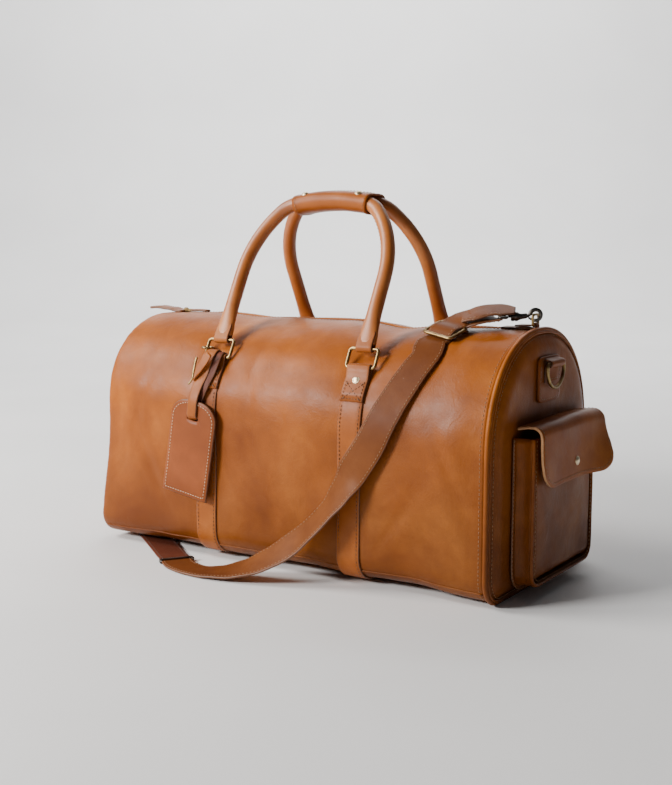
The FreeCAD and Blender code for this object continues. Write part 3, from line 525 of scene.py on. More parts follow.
def outline(q):
    """Point and outward normal (y, z) at q along the section, from the front zipper edge down the
    front, under the bag and up the back to the rear zipper edge."""
    side = -1
    if q > LEN_AROUND / 2:
        q, side = LEN_AROUND - q, 1
    if q < LEN_ARCH:
        a = TOP_ANGLE - q / DEPTH
        full = 3.6 * max(math.sin(2 * a), 0.0) ** 1.5
        r = DEPTH + full
        return side * r * math.cos(a), ARCH + r * math.sin(a), side * math.cos(a), math.sin(a)
    q -= LEN_ARCH
    if q < LEN_SIDE:
        return side * DEPTH, ARCH - q, side, 0.0
    q -= LEN_SIDE
    if q < LEN_CORNER:
        a = q / CORNER
        return (side * (SEAM + CORNER * math.cos(a)), BASE + CORNER - CORNER * math.sin(a),
                side * math.cos(a), -math.sin(a))
    return side * (SEAM - (q - LEN_CORNER)), BASE, 0.0, -1.0


def end_drop(x):
    """How far the base comes down towards the end at x."""
    floor = END_FLOOR["left" if x < 0 else "right"]
    return (BASE - floor) * smooth01((abs(x) - 120.0) / (HALF + 3 - 120.0))


def slump(x, z):
    """The left end leans: out at the floor, in at the middle of its height."""
    near = smooth01((-x - 200.0) / 58.0)
    return near * (2.5 * math.exp(-((z - 165.0) / 42.0) ** 2) - 14.0 * smooth01((135.0 - z) / 120.0))


def roll(x):
    """At the left end the leather itself turns the corner, with a radius of 8."""
    u = min(max((-x - HALF + 2.0) / 8.0, 0.0), 1.0)
    return 8.0 * (1 - math.sqrt(1 - u * u))


def swell(x, y, z, ny, nz):
    """How far the leather stands out from, or sinks below, the plain barrel at a point."""
    dimple = 0.0
    for centre in STRAP_X.values():
        value_at_ring = math.exp(-((x - centre) / 22.0) ** 2 - ((z - 230.0) / 26.0) ** 2)
        dimple = max(dimple, 3.6 * value_at_ring)
    ends = smooth01((HALF + 4 - abs(x)) / 55.0)
    up = smooth01((z - 20.0) / 60.0)
    value = 1.8 * ends * up * (1 - nz * nz * 0.6) - dimple
    for centre in STRAP_X.values():
        value -= 1.7 * up * math.exp(-((x - centre) / 21.0) ** 2)
    value += ends * (2.6 * wobble(x, y * 1.3, z * 1.1, 0.011) + 1.1 * wobble(x + 90, y, z, 0.03))
    top = max(nz, 0.0) ** 3
    value -= top * (3.6 * math.exp(-((x - 96.0) / 42.0) ** 2) - 3.0 * math.exp(-((x + 165.0) / 38.0) ** 2))
    value += 3.0 * smooth01((-x - 100.0) / 130.0) * max(2 * abs(ny) * nz, 0.0) - roll(x)
    # gathers beside the piping, and slack folds below the handles
    near = math.exp(-max(HALF - abs(x), 0.0) / 13.0)
    value -= 0.9 * near * (0.6 + 0.6 * wobble(x * 0.2, y * 2.0, z * 2.0, 0.055))
    for k, (fx, fz, lean, depth) in enumerate(
        ((-182, 92, 0.5, 1.5), (-205, 168, -0.4, 1.2), (148, 70, -0.6, 1.5), (208, 150, 0.45, 1.4),
         (30, 52, 0.25, 1.0), (-40, 200, 0.1, 0.9), (196, 60, 0.75, 1.2))
    ):
        d = (x - fx) * math.cos(lean) + (z - fz) * math.sin(lean) + 3.0 * wobble(y, z, k * 9, 0.02)
        e = -(x - fx) * math.sin(lean) + (z - fz) * math.cos(lean)
        value -= depth * up * math.exp(-(d / 6.5) ** 2 - (e / 46.0) ** 2)
    return value


def skin(x, q, out=0.0):
    """A point standing `out` from the leather, and the leather's outward normal."""
    y, z, ny, nz = outline(q)
    low = smooth01((70.0 - z) / 70.0)
    push = swell(x, y, z, ny, nz) + out
    return Vector((x + slump(x, z), y + ny * push, z + nz * push - end_drop(x) * low)), Vector((0.0, ny, nz))


def panel(name, node, q_from, q_to, stations):
    b = Builder()
    count = int((q_to - q_from) / 4.0)
    xs = [-HALF - d for d in (6.0, 5.8, 5.2, 4.3, 3.2, 2.0, 0.8)]
    xs += [-HALF + (2 * HALF + 0.5) * i / stations for i in range(stations + 1)]
    rows = [[skin(x, q_from + (q_to - q_from) * k / count)[0] for k in range(count + 1)] for x in xs]
    b.grid(rows)
    return b.done(name, "bag", [TAN], [node], solid=2.0)


def stitch_panel_edges():
    """The rows of stitches beside the piping, the zipper and the base seams."""
    b = Builder()
    found = [skin(HALF - 5.0, 3.0 + (LEN_AROUND - 6.0) * k / 240, 0.1) for k in range(241)]
    b.sew(found, slot=0)
    for q in (4.5, LEN_AROUND - 4.5, LEN_PANEL - 3.5, LEN_AROUND - LEN_PANEL + 3.5):
        found = [skin(-HALF + 8 + (2 * HALF - 16) * k / 130, q, 0.1) for k in range(131)]
        b.sew(found, slot=0)
    b.done("panel_stitches", "bag", [THREAD])
    b = Builder()
    for q in (LEN_ARCH + LEN_SIDE + CORNER * 0.62, LEN_AROUND - LEN_ARCH - LEN_SIDE - CORNER * 0.62):
        found = [skin(-HALF + 2 + (2 * HALF - 4) * k / 130, q, 0.25) for k in range(131)]
        b.sweep([(p, n, n.cross(Vector((1, 0, 0)))) for p, n in found], ellipse(0.8, 1.4, 10))
    b.done("base_seam_cords", "bag", [TAN])


def rim(x, out, side, count=300):
    """Points around an end, following the skin there, with the zipper's gap closed over the top."""
    points = []
    for k in range(count):
        q = LEN_AROUND * k / (count - 1)
        y, z, ny, nz = outline(q)
        low = smooth01((70.0 - z) / 70.0)
        shift = slump(x, z) if side < 0 else 0.0
        points.append((Vector((x + shift, y + ny * out, z + nz * out - end_drop(side * HALF) * low)),
                       Vector((0, ny, nz))))
    top = Vector((x, 0, ARCH + DEPTH + out))
    points.append((top, Vector((0, 0, 1))))
    return points


def end_panel(side):
    name = "right" if side > 0 else "left"
    b = Builder()
    plane = abs(mm(name + "_end_panel")[0 if side > 0 else 1].x)
    plateau = abs(mm(name + "_end_panel")[1 if side > 0 else 0].x)
    middle = Vector((0, 0, 140.0))
    edge = 1.8
    if side < 0:
        plane, edge = plane + 2.6, 8.2
    border = rim(side * plane, -edge, side, 220)
    rows = []
    insets = [0, 1.5, 3.5, 6, 9, 12.5, 17, 22, 30, 42, 58, 76, 96, 112]
    for d in insets:
        h = (plateau - plane - 0.7) * (1 - (1 - min(d, 20.0) / 20.0) ** 2.2) - 0.4
        row = []
        for p, n in border:
            flat = Vector((0, p.y, p.z))
            place = flat.lerp(middle, min(d / 118.0, 0.97)) if d > 25 else flat - n * d
            soft = 0.5 * wobble(place.y, place.z, side * 40, 0.02) * smooth01(d / 12.0)
            lean = (p.x - side * plane) * (1 - smooth01((d - 6.0) / 50.0))
            row.append(Vector((side * (plane + h + soft - 0.3) + lean, place.y, place.z)))
        rows.append(row)
    b.grid(rows, wrap=True)
    count = len(border)
    b.faces.append(tuple(len(b.verts) - count + k for k in range(count)))
    b.slots.append(0)
    line = [Vector((side * (plane + 4.6) + p.x - side * plane, p.y, p.z)) - n * 3.6 for p, n in border]
    b.stitches(line, [Vector((side * 0.8, 0, 0)) + n * 0.6 for _, n in border], closed=True)
    b.done(name + "_end_leather", "bag", [TAN, THREAD], [name + "_end_panel"])
    b = Builder()
    if side > 0:
        around = rim(mm_end(side), 0.0, side)
        b.sweep([(p, n, Vector((1, 0, 0))) for p, n in around], ellipse(3.1, 3.0, 12), ring=True)
        for away in (-1, 1):
            frames = [(p - n * 2.2 + Vector((away * 2.6, 0, 0)), n, Vector((1, 0, 0))) for p, n in around]
            b.sweep(frames, ellipse(1.7, 1.5, 8), ring=True)
    else:
        around = rim(-HALF - 6.2, -8.4, side)
        b.sweep([(p, n, Vector((1, 0, 0))) for p, n in around], ellipse(1.5, 1.5, 10), ring=True)
    b.done(name + "_end_welt", "bag", [TAN], [name + "_end_piping"])


def mm_end(side):
    low, high = mm(("right" if side > 0 else "left") + "_end_piping")
    return abs(low.x + high.x) / 2


# ------------------------------------------------------------------ zipper
def ridge_sag(x):
    """How far the ridge stands above the plain barrel's zipper edge at x."""
    return skin(x, 0.0)[0].z - (ARCH + math.sqrt(DEPTH ** 2 - SLOT ** 2))

def zipper():
    low, high = mm("zipper_teeth")
    b = Builder()
    pitch = 2.5
    number = int((high.x - low.x) / pitch)
    for row in (-1, 1):
        for k in range(number):
            x = low.x + (k + (0.5 if row > 0 else 0.0)) * pitch + 0.6
            sag = ridge_sag(x)
            c = Vector((x, row * 1.7, (low.z + high.z) / 2 + sag))
            u, v, w = Vector((0.72, 0, 0)), Vector((0, row * 1.9, 0)), Vector((0, 0, 1.25))
            head = [c + v * a + u * s + w * t for a, s, t in
                    ((-0.75, -0.8, -0.7), (-0.75, 0.8, -0.7), (-0.75, 0.8, 0.7), (-0.75, -0.8, 0.7),
                     (-0.2, -1, -1), (-0.2, 1, -1), (-0.2, 1, 1), (-0.2, -1, 1),
                     (0.95, -1, -0.9), (0.95, 1, -0.9), (0.95, 1, 0.9), (0.95, -1, 0.9))]
            first = len(b.verts)
            b.verts += head
            for r in (0, 4):
                for i in range(4):
                    j = (i + 1) % 4
                    b.faces.append(tuple(first + n for n in (r + i, r + j, r + 4 + j, r + 4 + i)))
            b.faces += [tuple(first + n for n in (3, 2, 1, 0)), tuple(first + n for n in (8, 9, 10, 11))]
            b.slots += [0] * 10
    b.done("zipper_teeth_rows", "bag", [BRASS], ["zipper_teeth"], smooth=False)
    low, high = mm("zipper_tapes")
    b = Builder()
    for row in (-1, 1):
        points = []
        for k in range(101):
            x = low.x + (high.x - low.x) * k / 100
            sag = ridge_sag(x)
            points.append(Vector((x, row * 8.6, (low.z + high.z) / 2 + sag - 0.2)))
        b.sweep(flat_frames(points, [Vector((0, 0, 1))] * 101), strap_section(11.0, 0.8, 0.0, 0.3)[0])
    b.done("zipper_tape_pair", "bag", [TAPE], ["zipper_tapes"])


def zipper_tabs():
    low, high = mm("left_zipper_tab")
    points, outs = [], []
    for x, z in ((high.x + 14, ARCH + DEPTH + 1.4), (high.x + 2, ARCH + DEPTH + 2.0), (high.x - 6, ARCH + DEPTH + 3.8),
                 (high.x - 14, high.z - 2.2), (high.x - 26, high.z - 1.0), (low.x + 8, high.z - 1.4),
                 (low.x + 1, high.z - 2.4)):
        points.append(Vector((x, 0, z)))
        outs.append(Vector((0, 0, 1)))
    points, outs = spline(points, outs, 2.5)
    b = Builder()
    frames = flat_frames(points, outs)
    last = len(frames) - 1

    def section(i):
        d = (points[last] - points[i]).length
        half = 10.5 * math.sqrt(max(1 - (max(9.0 - d, 0) / 9.0) ** 2, 0.03))
        return strap_section(2 * half, 2.8, 0.3, 1.0)[0]

    b.sweep(frames, section, slots=strap_section(20, 2.8)[1])
    for s in (-1, 1):
        line = [c + u * s * 7.8 + v * 1.6 for c, u, v in frames[:-4]]
        b.stitches(line, [v for _, _, v in frames[:-4]], pitch=3.8, long=2.7)
    b.done("left_end_tab", "bag", [STRAP, THREAD, EDGE], ["left_zipper_tab"])
    low, high = mm("right_zipper_tab")
    hinge = joint_mm("top_ring_rock")
    path = [Vector((low.x - 14, 0, ARCH + DEPTH + 1.3)), Vector((low.x, 0, ARCH + DEPTH + 1.5)),
            Vector((hinge.x - 8, 0, ARCH + DEPTH + 1.6))]
    for a in (-90, -45, 0, 45, 90, 130, 165):
        r = math.radians(a)
        path.append(hinge + Vector((2.7 * math.cos(r), 0, 2.7 * math.sin(r))))
    path.append(Vector((hinge.x - 9, 0, ARCH + DEPTH + 4.3)))
    path.append(Vector((low.x + 2, 0, ARCH + DEPTH + 4.0)))
    side = Vector((0, 1, 0))
    outs = []
    for i in range(len(path)):
        along = tangent(path, i)
        outs.append(side.cross(along) * -1)
    points, outs = spline(path, outs, 2.0)
    b = Builder()
    widths = []
    for p in points:
        d = smooth01((p.x - (hinge.x - 12)) / 8.0)
        widths.append(18.0 * (1 - d) + 8.4 * d)
    b.sweep(flat_frames(points, outs), lambda i: strap_section(widths[i], 1.9, 0.1, 0.8)[0],
            slots=strap_section(18, 1.9)[1])
    b.done("right_end_tab", "bag", [STRAP, THREAD, EDGE], ["right_zipper_tab"])


def zipper_pull():
    low, high = mm("zipper_pull_tab")
    z = (low.z + high.z) / 2
    points = [Vector((low.x - 3.2, 0, z)), Vector((low.x + 2, 0, z)), Vector(((low.x + high.x) / 2, 0, z + 0.3)),
              Vector((high.x, 0, z - 0.2))]
    points, outs = spline(points, [Vector((0, 0, 1))] * 4, 1.6)
    last = len(points) - 1

    def section(i):
        a, d = i / last, (points[last] - points[i]).length
        half = (3.4 + 1.6 * smooth01(a * 1.6)) * math.sqrt(max(1 - (max(4.0 - d, 0) / 4.0) ** 2, 0.04))
        return strap_section(2 * half, 2.4, 0.2, 0.9)[0]

    b = Builder()
    frames = flat_frames(points, outs)
    b.sweep(frames, section, slots=strap_section(10, 2.4)[1])
    b.stitches([c + v * 1.35 for c, _, v in frames[3:-2]], [v for _, _, v in frames[3:-2]], pitch=3.4, long=2.4)
    b.done("zipper_pull_leather", "zipper_pull_body", [STRAP, THREAD, EDGE], ["zipper_pull_tab"])


# ------------------------------------------------------------------ straps around the body
def bar_q():
    """q of the rings' lower bars on the front."""
    pivot = joint_mm("front_ring_swing")
    a = math.atan2(pivot.z - ARCH, -pivot.y)
    return (TOP_ANGLE - a) * DEPTH, math.hypot(pivot.y, pivot.z - ARCH) - DEPTH


def body_strap(side_name, x):
    q_bar, out_bar = bar_q()
    width = 29.0
    over_left = q_bar + 37.0
    # the folded end on the front, the loop around the ring's bar, then around the bag to the rear
    front_fold = [(over_left, 3.45), (over_left - 10, 3.45), (q_bar + 17, 3.5), (q_bar + 11, 4.4),
                  (q_bar + 5.5, 7.6)]
    loop = [(q_bar - 3.25 * math.sin(math.radians(a)), out_bar + 3.25 * math.cos(math.radians(a)))
            for a in (0, 35, 70, 105, 140, 175)]
    front_down = [(q_bar + 5, 2.1), (q_bar + 11, 1.25), (q_bar + 20, 1.15)]
    half = front_fold + loop + front_down
    qs = list(half)
    q = q_bar + 26.0
    while q < LEN_AROUND - q_bar - 26.0:
        qs.append((q, 1.15))
        q += 6.0
    qs += [(LEN_AROUND - q, o) for q, o in reversed(half)]
    points = [near_bar(x, q, o) for q, o in qs]
    outs = []
    for i, p in enumerate(points):
        along = tangent(points, i)
        outs.append(along.cross(Vector((-1, 0, 0))).normalized())
    b = Builder()
    frames = [(p, Vector((1, 0, 0)), o) for p, o in zip(points, outs)]
    section, slots = strap_section(width, 2.2, 0.15)
    b.sweep(frames, section, slots=slots)
    # edge stitches, a box with a cross on each folded end, and the row across its tip
    for end in (0, 1):
        for s in (-1, 1):
            qs_line = [q_bar + 40 + k * 6.0 for k in range(int((LEN_AROUND / 2 - q_bar - 40) / 6.0))]
            found = [skin(x + s * (width / 2 - 3.2), mirror_q(qq, end), 2.35) for qq in qs_line]
            b.sew(found)
            fold = [q_bar + 12 + k * 2.5 for k in range(11)]
            found = [skin(x + s * (width / 2 - 3.2), mirror_q(qq, end), 4.75) for qq in fold[1:]]
            b.sew(found, pitch=3.6, long=2.6)
        top, low = q_bar + 17.5, over_left - 2.5
        for q0 in (top, low):
            found = [skin(x + (width / 2 - 3.2) * (k / 4 - 1), mirror_q(q0, end), 4.75) for k in range(9)]
            b.sew(found, pitch=3.6, long=2.6)
        for s in (-1, 1):
            found = [skin(x + s * (width / 2 - 4.0) * (k / 4 - 1), mirror_q(top + (low - top) * k / 8, end), 4.78)
                     for k in range(9)]
            b.sew(found, pitch=3.6, long=2.6)
    nodes = [side_name + "_body_strap"] + [f"{f}_{side_name}_strap_loop" for f in ("front", "rear")]
    b.done(side_name + "_strap_leather", "bag", [STRAP, SEAM_THREAD, EDGE], nodes)


def near_bar(x, q, out):
    """A point at q and out from the plain barrel, so that a loop stays round the bar it holds."""
    q_bar, _ = bar_q()
    at_end = min(q, LEN_AROUND - q) - q_bar
    point, _ = skin(x, q, out)
    side = -1 if q < LEN_AROUND / 2 else 1
    a = TOP_ANGLE - min(q, LEN_AROUND - q) / DEPTH
    plain_point = Vector((x, side * (DEPTH + out) * math.cos(a), ARCH + (DEPTH + out) * math.sin(a)))
    return plain_point.lerp(point, smooth01((at_end - 4.0) / 10.0))


def mirror_q(q, end):
    return LEN_AROUND - q if end else q


def rivets():
    q_bar, _ = bar_q()
    b = Builder()
    for x in STRAP_X.values():
        for end in (0, 1):
            p, n = skin(x, mirror_q(q_bar + 13.5, end), 4.9)
            b.dome(p, n, 4.2, 1.5, rim=0.7)
    b.done("strap_rivet_caps", "bag", [BRIGHT], ["strap_rivets"])


# ------------------------------------------------------------------ handles
HANDLE_RISE = 180.0
HANDLE_LEAN = 1.0

def handle_frame(side):
    """Origin on the rings' upper bars, and the handle's own up and outward directions."""
    low = joint_mm(("front" if side < 0 else "rear") + "_ring_swing")
    bar = joint_mm(("front" if side < 0 else "rear") + "_handle_swing")
    up = Vector((0, bar.y - low.y, bar.z - low.z)).normalized()
    return bar, up, up.cross(Vector((side, 0, 0))) * -1


def handle_line(half, count=12):
    """The handle's centre line as (x, s): leg, shoulder, bend and grip, as tangent arcs."""
    grip, bend, leg, rise = 260.0, 36.0, 118.0, HANDLE_RISE
    first = math.radians(10.4)
    c2 = ((grip - bend) * math.sin(first), rise - grip + (grip - bend) * math.cos(first))
    second = math.asin((c2[0] + leg - half) / (leg - bend))
    c3 = (half - leg, c2[1] - (leg - bend) * math.cos(second))
    points = [(half, s) for s in (5.6, 6.2, 8.0, 12.0, 17.0, 23.0, 32.0, 42.0, 55.0, 70.0)]
    for centre, radius, a, z in ((c3, leg, math.pi / 2, second), (c2, bend, second, first),
                                 ((0, rise - grip), grip, first, 0)):
        for k in range(count):
            t = a + (z - a) * k / count
            points.append((centre[0] + radius * math.sin(t), centre[1] + radius * math.cos(t)))
    right = points + [(0.0, rise)]
    return [(-x, s) for x, s in right] + [(x, s) for x, s in reversed(right[:-1])]


def handle(side):
    name = "front" if side < 0 else "rear"
    bar, up, out = handle_frame(side)
    half = (STRAP_X["right"] - STRAP_X["left"]) / 2
    line = handle_line(half)

    def place(x, s, w=0.0):
        lean = HANDLE_LEAN * smooth01(s / HANDLE_RISE)
        return Vector((bar.x + x + lean, bar.y, bar.z)) + up * s + out * w

    points = [place(x, s) for x, s in line]
    frames = [(p, out.cross(tangent(points, i)).normalized(), out) for i, p in enumerate(points)]

    def section(i):
        s = line[i][1]
        flat = 1 - smooth01((s - 7.0) / 42.0)
        tip = 0.9 if s < 5.9 else 1.0
        a, c = (8.1 + 3.4 * flat) * tip, (8.1 - 3.4 * flat) * tip
        bumpy = 0.12 * wobble(points[i].x, points[i].z, side, 0.06)
        return ellipse(a + bumpy, c + bumpy, 22)

    b = Builder()
    b.sweep(frames, section)
    towards = 1 if frames[len(frames) // 2][1].dot(up) < 0 else -1
    seam = [(c + u * towards * 7.7 + v * side * 2.2) for c, u, v in frames[4:-4]]
    b.stitches(seam, [(u * towards + v * side * 0.3).normalized() for _, u, v in frames[4:-4]], pitch=5.0, long=3.5)
    b.done(name + "_handle_leather", name + "_handle", [HANDLE, THREAD, EDGE],
           [name + "_handle_sleeve"])
    # chapes: a strip around the ring's bar that closes over the flattened end of the roll
    b = Builder()
    for m in (-1, 1):
        x = m * half
        path = [(2.2, 24.0), (2.4, 18.0), (2.8, 12.0), (3.2, 8.0), (3.4, 4.0)]
        path += [(3.25 * math.cos(math.radians(a)), -3.25 * math.sin(math.radians(a))) for a in (0, 45, 90, 135, 180)]
        path += [(-w, s) for w, s in reversed(path[:5])]
        spots = [place(x, s, w * side * -1) for w, s in path]
        ways = []
        for i in range(len(spots)):
            along = tangent(spots, i)
            ways.append(along.cross(Vector((1, 0, 0))).normalized())
        middle = place(x, 12.0)
        if ways[2].dot(spots[2] - middle) < 0:
            ways = [-w for w in ways]
        spots, ways = spline(spots, ways, 2.0)
        lengths = [0.0]
        for p, r in zip(spots, spots[1:]):
            lengths.append(lengths[-1] + (r - p).length)
        total_length = lengths[-1]

        def chape(i, lengths=lengths, total_length=total_length):
            d = min(lengths[i], total_length - lengths[i])
            tip = math.sqrt(max(1 - (max(8.0 - d, 0.0) / 8.0) ** 2, 0.05))
            return strap_section(20.5 * tip, 2.0, 0.2, 0.9)[0]

        b.sweep([(p, Vector((1, 0, 0)), w) for p, w in zip(spots, ways)], chape, slots=strap_section(20, 2.0)[1])
    b.done(name + "_handle_chapes", name + "_handle", [STRAP, THREAD, EDGE], [name + "_handle_ends"])


def grip_wrap():
    low, high = mm("grip_wrap")
    cx = (low.x + high.x) / 2
    radius = 268.0
    top = high.z - 11.4
    centre = Vector((cx + 4.0, 0, top - radius))
    half_angle = 50.5 / radius
    b = Builder()
    count = 30
    outer = []
    shape = []
    for k in range(44):
        t = k * math.tau / 44
        c, s = math.cos(t), math.sin(t)
        shape.append((21.2 * math.copysign(abs(c) ** 0.62, c), 11.9 * math.copysign(abs(s) ** 0.8, s)))
    for i in range(count + 1):
        a = half_angle * (2 * i / count - 1)
        up = Vector((math.sin(a), 0, math.cos(a)))
        lip = 1.0 + 0.035 * smooth01((abs(2 * i / count - 1) - 0.86) / 0.14)
        ring = []
        for y, h in shape:
            dent = 1.0 if h > 0 else 0.0
            dip = -0.9 * dent * math.exp(-(y / 6.0) ** 2) + 0.35 * wobble(a * 260, y, h, 0.05)
            ring.append(centre + up * (radius + (h + dip) * lip) + Vector((0, y * lip, 0)))
        outer.append(ring)
    b.grid(outer, wrap=True)
    b.done("grip_wrap_leather", "front_handle", [STRAP, THREAD, EDGE], ["grip_wrap"], solid=2.0)
    b = Builder()
    for i in (1, count - 1):
        ring = outer[i]
        c = sum(ring, Vector()) / len(ring)
        b.stitches([p + (p - c).normalized() * 0.1 for p in ring], [(p - c).normalized() for p in ring],
                   slot=0, closed=True, pitch=4.0, long=2.8)
    # the closing flap's edge along the top, with a row of stitches beside it
    rows = []
    for i in range(1, count):
        a = half_angle * (2 * i / count - 1)
        up = Vector((math.sin(a), 0, math.cos(a)))
        rows.append((centre + up * (radius + 12.05) + Vector((0, 3.0, 0)), up))
    b.sew(rows, slot=0)
    b.done("grip_wrap_stitches", "front_handle", [THREAD])
    b = Builder()
    for a in (-7.6, 7.6):
        t = math.radians(a)
        up = Vector((math.sin(t), 0, math.cos(t)))
        b.dome(centre + up * (radius + 10.6) + Vector((0, -14.6, 0)), (up + Vector((0, -0.55, 0))).normalized(),
               4.0, 1.7, rim=0.8)
    b.done("grip_wrap_snaps", "front_handle", [BRIGHT], ["grip_snap_caps"])


# ------------------------------------------------------------------ ends
def ring_tab(side):
    name = "right" if side > 0 else "left"
    low, high = mm(name + "_ring_tab")
    pivot = joint_mm(name + "_d_ring_swing")
    face = abs(low.x if side > 0 else high.x)
    b = Builder()
    # a rounded patch, raised a little in its middle, with a fold of leather that holds the ring
    rows = []
    w, h = 27.5, 24.5
    for f, lift in ((1.0, 0.1), (1.0, 1.2), (0.985, 1.9), (0.95, 2.15), (0.85, 2.25), (0.6, 2.4), (0.3, 2.5),
                    (0.02, 2.5)):
        rows.append([Vector((side * (face + lift), a * f, 225.0 + c * f)) for a, c in ellipse(w, h, 64, 7.0)])
    b.grid(rows, wrap=True)
    border = [(Vector((side * (face + 2.25), a * 0.87, 225.0 + c * 0.86))) for a, c in ellipse(w, h, 64, 7.0)]
    b.stitches(border, [Vector((side, 0, 0))] * 64, closed=True)
    path = [Vector((side * (face + 3.4), 0, 247.0)), Vector((side * (face + 5.0), 0, 246.0))]
    for a in (70, 35, 0, -35, -70, -110, -150):
        t = math.radians(a)
        path.append(Vector((pivot.x + side * 3.2 * math.cos(t), 0, pivot.z + 3.2 * math.sin(t))))
    path += [Vector((side * (face + 4.4), 0, 239.0)), Vector((side * (face + 3.4), 0, 233.0)),
             Vector((side * (face + 3.4), 0, 222.0))]
    outs = []
    for i in range(len(path)):
        along = tangent(path, i)
        outs.append(along.cross(Vector((0, 1, 0))) * side)
    points, outs = spline(path, outs, 1.8)
    section, slots = strap_section(34.0, 2.0, 0.15)
    b.sweep([(p, Vector((0, 1, 0)), o) for p, o in zip(points, outs)], section, slots=slots)
    b.stitches([Vector((side * (face + 4.6), y, 225.0)) for y in range(-14, 15, 2)], [Vector((side, 0, 0))] * 15,
               pitch=3.8, long=2.8)
    b.done(name + "_ring_patch", "bag", [STRAP, THREAD, EDGE], [name + "_ring_tab"])


def pocket():
    x0 = mm("pocket_gusset")[0].x
    x1 = mm("pocket_front")[1].x
    half = 77.0
    base = 18.0
    top = 172.0
    b = Builder()
    # front: a soft panel, slightly crowned, which leans out a little towards the top
    columns, rows_n = 44, 40
    grid = []
    for i in range(rows_n + 1):
        t = i / rows_n
        row = []
        for k in range(columns + 1):
            u = 2 * k / columns - 1
            z = base + 6 + (top - base - 6) * t
            edge = max(abs(u) - 0.90, 0.0) / 0.10
            low_edge = max(0.06 - t, 0.0) / 0.06
            y = (half - 1.0) * u
            crown = 1.6 * (1 - u * u) * math.sin(math.pi * min(t * 1.05, 1.0))
            x = x1 - 1.2 + crown - 3.2 * edge ** 2 - 3.0 * low_edge ** 2
            x += 0.8 * wobble(y, z, 3.0, 0.03) * (1 - abs(u) ** 6)
            row.append(Vector((x, y, z)))
        grid.append(row)
    b.grid(grid)
    b.done("pocket_front_leather", "bag", [TAN, THREAD, EDGE], ["pocket_front"], solid=2.0)
    b = Builder()
    # gusset: one strip down the near side, along the bottom and up the far side
    corner = 16.0
    outline_pts = [(-half, top - k * 6.0) for k in range(0, 23)]
    outline_pts += [(-half + corner - corner * math.cos(a), base + corner - corner * math.sin(a))
                    for a in (0.3, 0.7, 1.1, 1.4)]
    outline_pts += [(-half + corner + k * 10.0, base) for k in range(0, 13)]
    outline_pts += [(-y, z) for y, z in reversed(outline_pts[:27])]
    rows = []
    welt = []
    for y, z in outline_pts:
        ny, nz = y / half, 0.0
        if abs(y) < half - corner + 0.1:
            ny, nz = 0.0, -1.0
        elif z < base + corner:
            ny = (abs(y) - half + corner) / corner * math.copysign(1, y)
            nz = (z - base - corner) / corner
        row = []
        for j in range(9):
            f = j / 8
            slack = -1.8 * math.sin(math.pi * f) * (1 if abs(ny) > 0.5 else 0.4)
            slack += 0.9 * wobble(y, z, f * 30, 0.04)
            flare = 3.0 * (1 - f) ** 3
            row.append(Vector((x0 + (x1 - 2.2 - x0) * f - (0.0 if f else 0.6),
                               y + ny * (slack + flare * 0.5), z + nz * (slack + flare * 0.5))))
        rows.append(row)
        welt.append((Vector((x1 - 2.0, y + ny * 0.4, z + nz * 0.4)), Vector((0, ny, nz)).normalized()))
    b.grid(rows)
    b.done("pocket_gusset_leather", "bag", [TAN, THREAD, EDGE], ["pocket_gusset"], solid=2.0)
    b = Builder()
    frames = [(p, n, Vector((1, 0, 0))) for p, n in welt]
    b.sweep(frames, ellipse(1.9, 2.2, 12))
    flange = [(Vector((x0 + 0.9, p.y, p.z)) + n * 3.2, n, Vector((1, 0, 0))) for p, n in welt]
    section, slots = strap_section(8.0, 1.8)
    b.sweep(flange, section, slots=[2 if s else 0 for s in slots])
    b.stitches([Vector((x1 - 0.4, p.y, p.z)) - n * 4.6 for p, n in welt],
               [Vector((1, 0, 0)) for _ in welt])
    b.stitches([p + n * 3.4 + Vector((1.0, 0, 0)) for p, n, _ in flange], [Vector((1, 0, 0))] * len(flange))
    b.done("pocket_welt", "bag", [TAN, THREAD, EDGE])


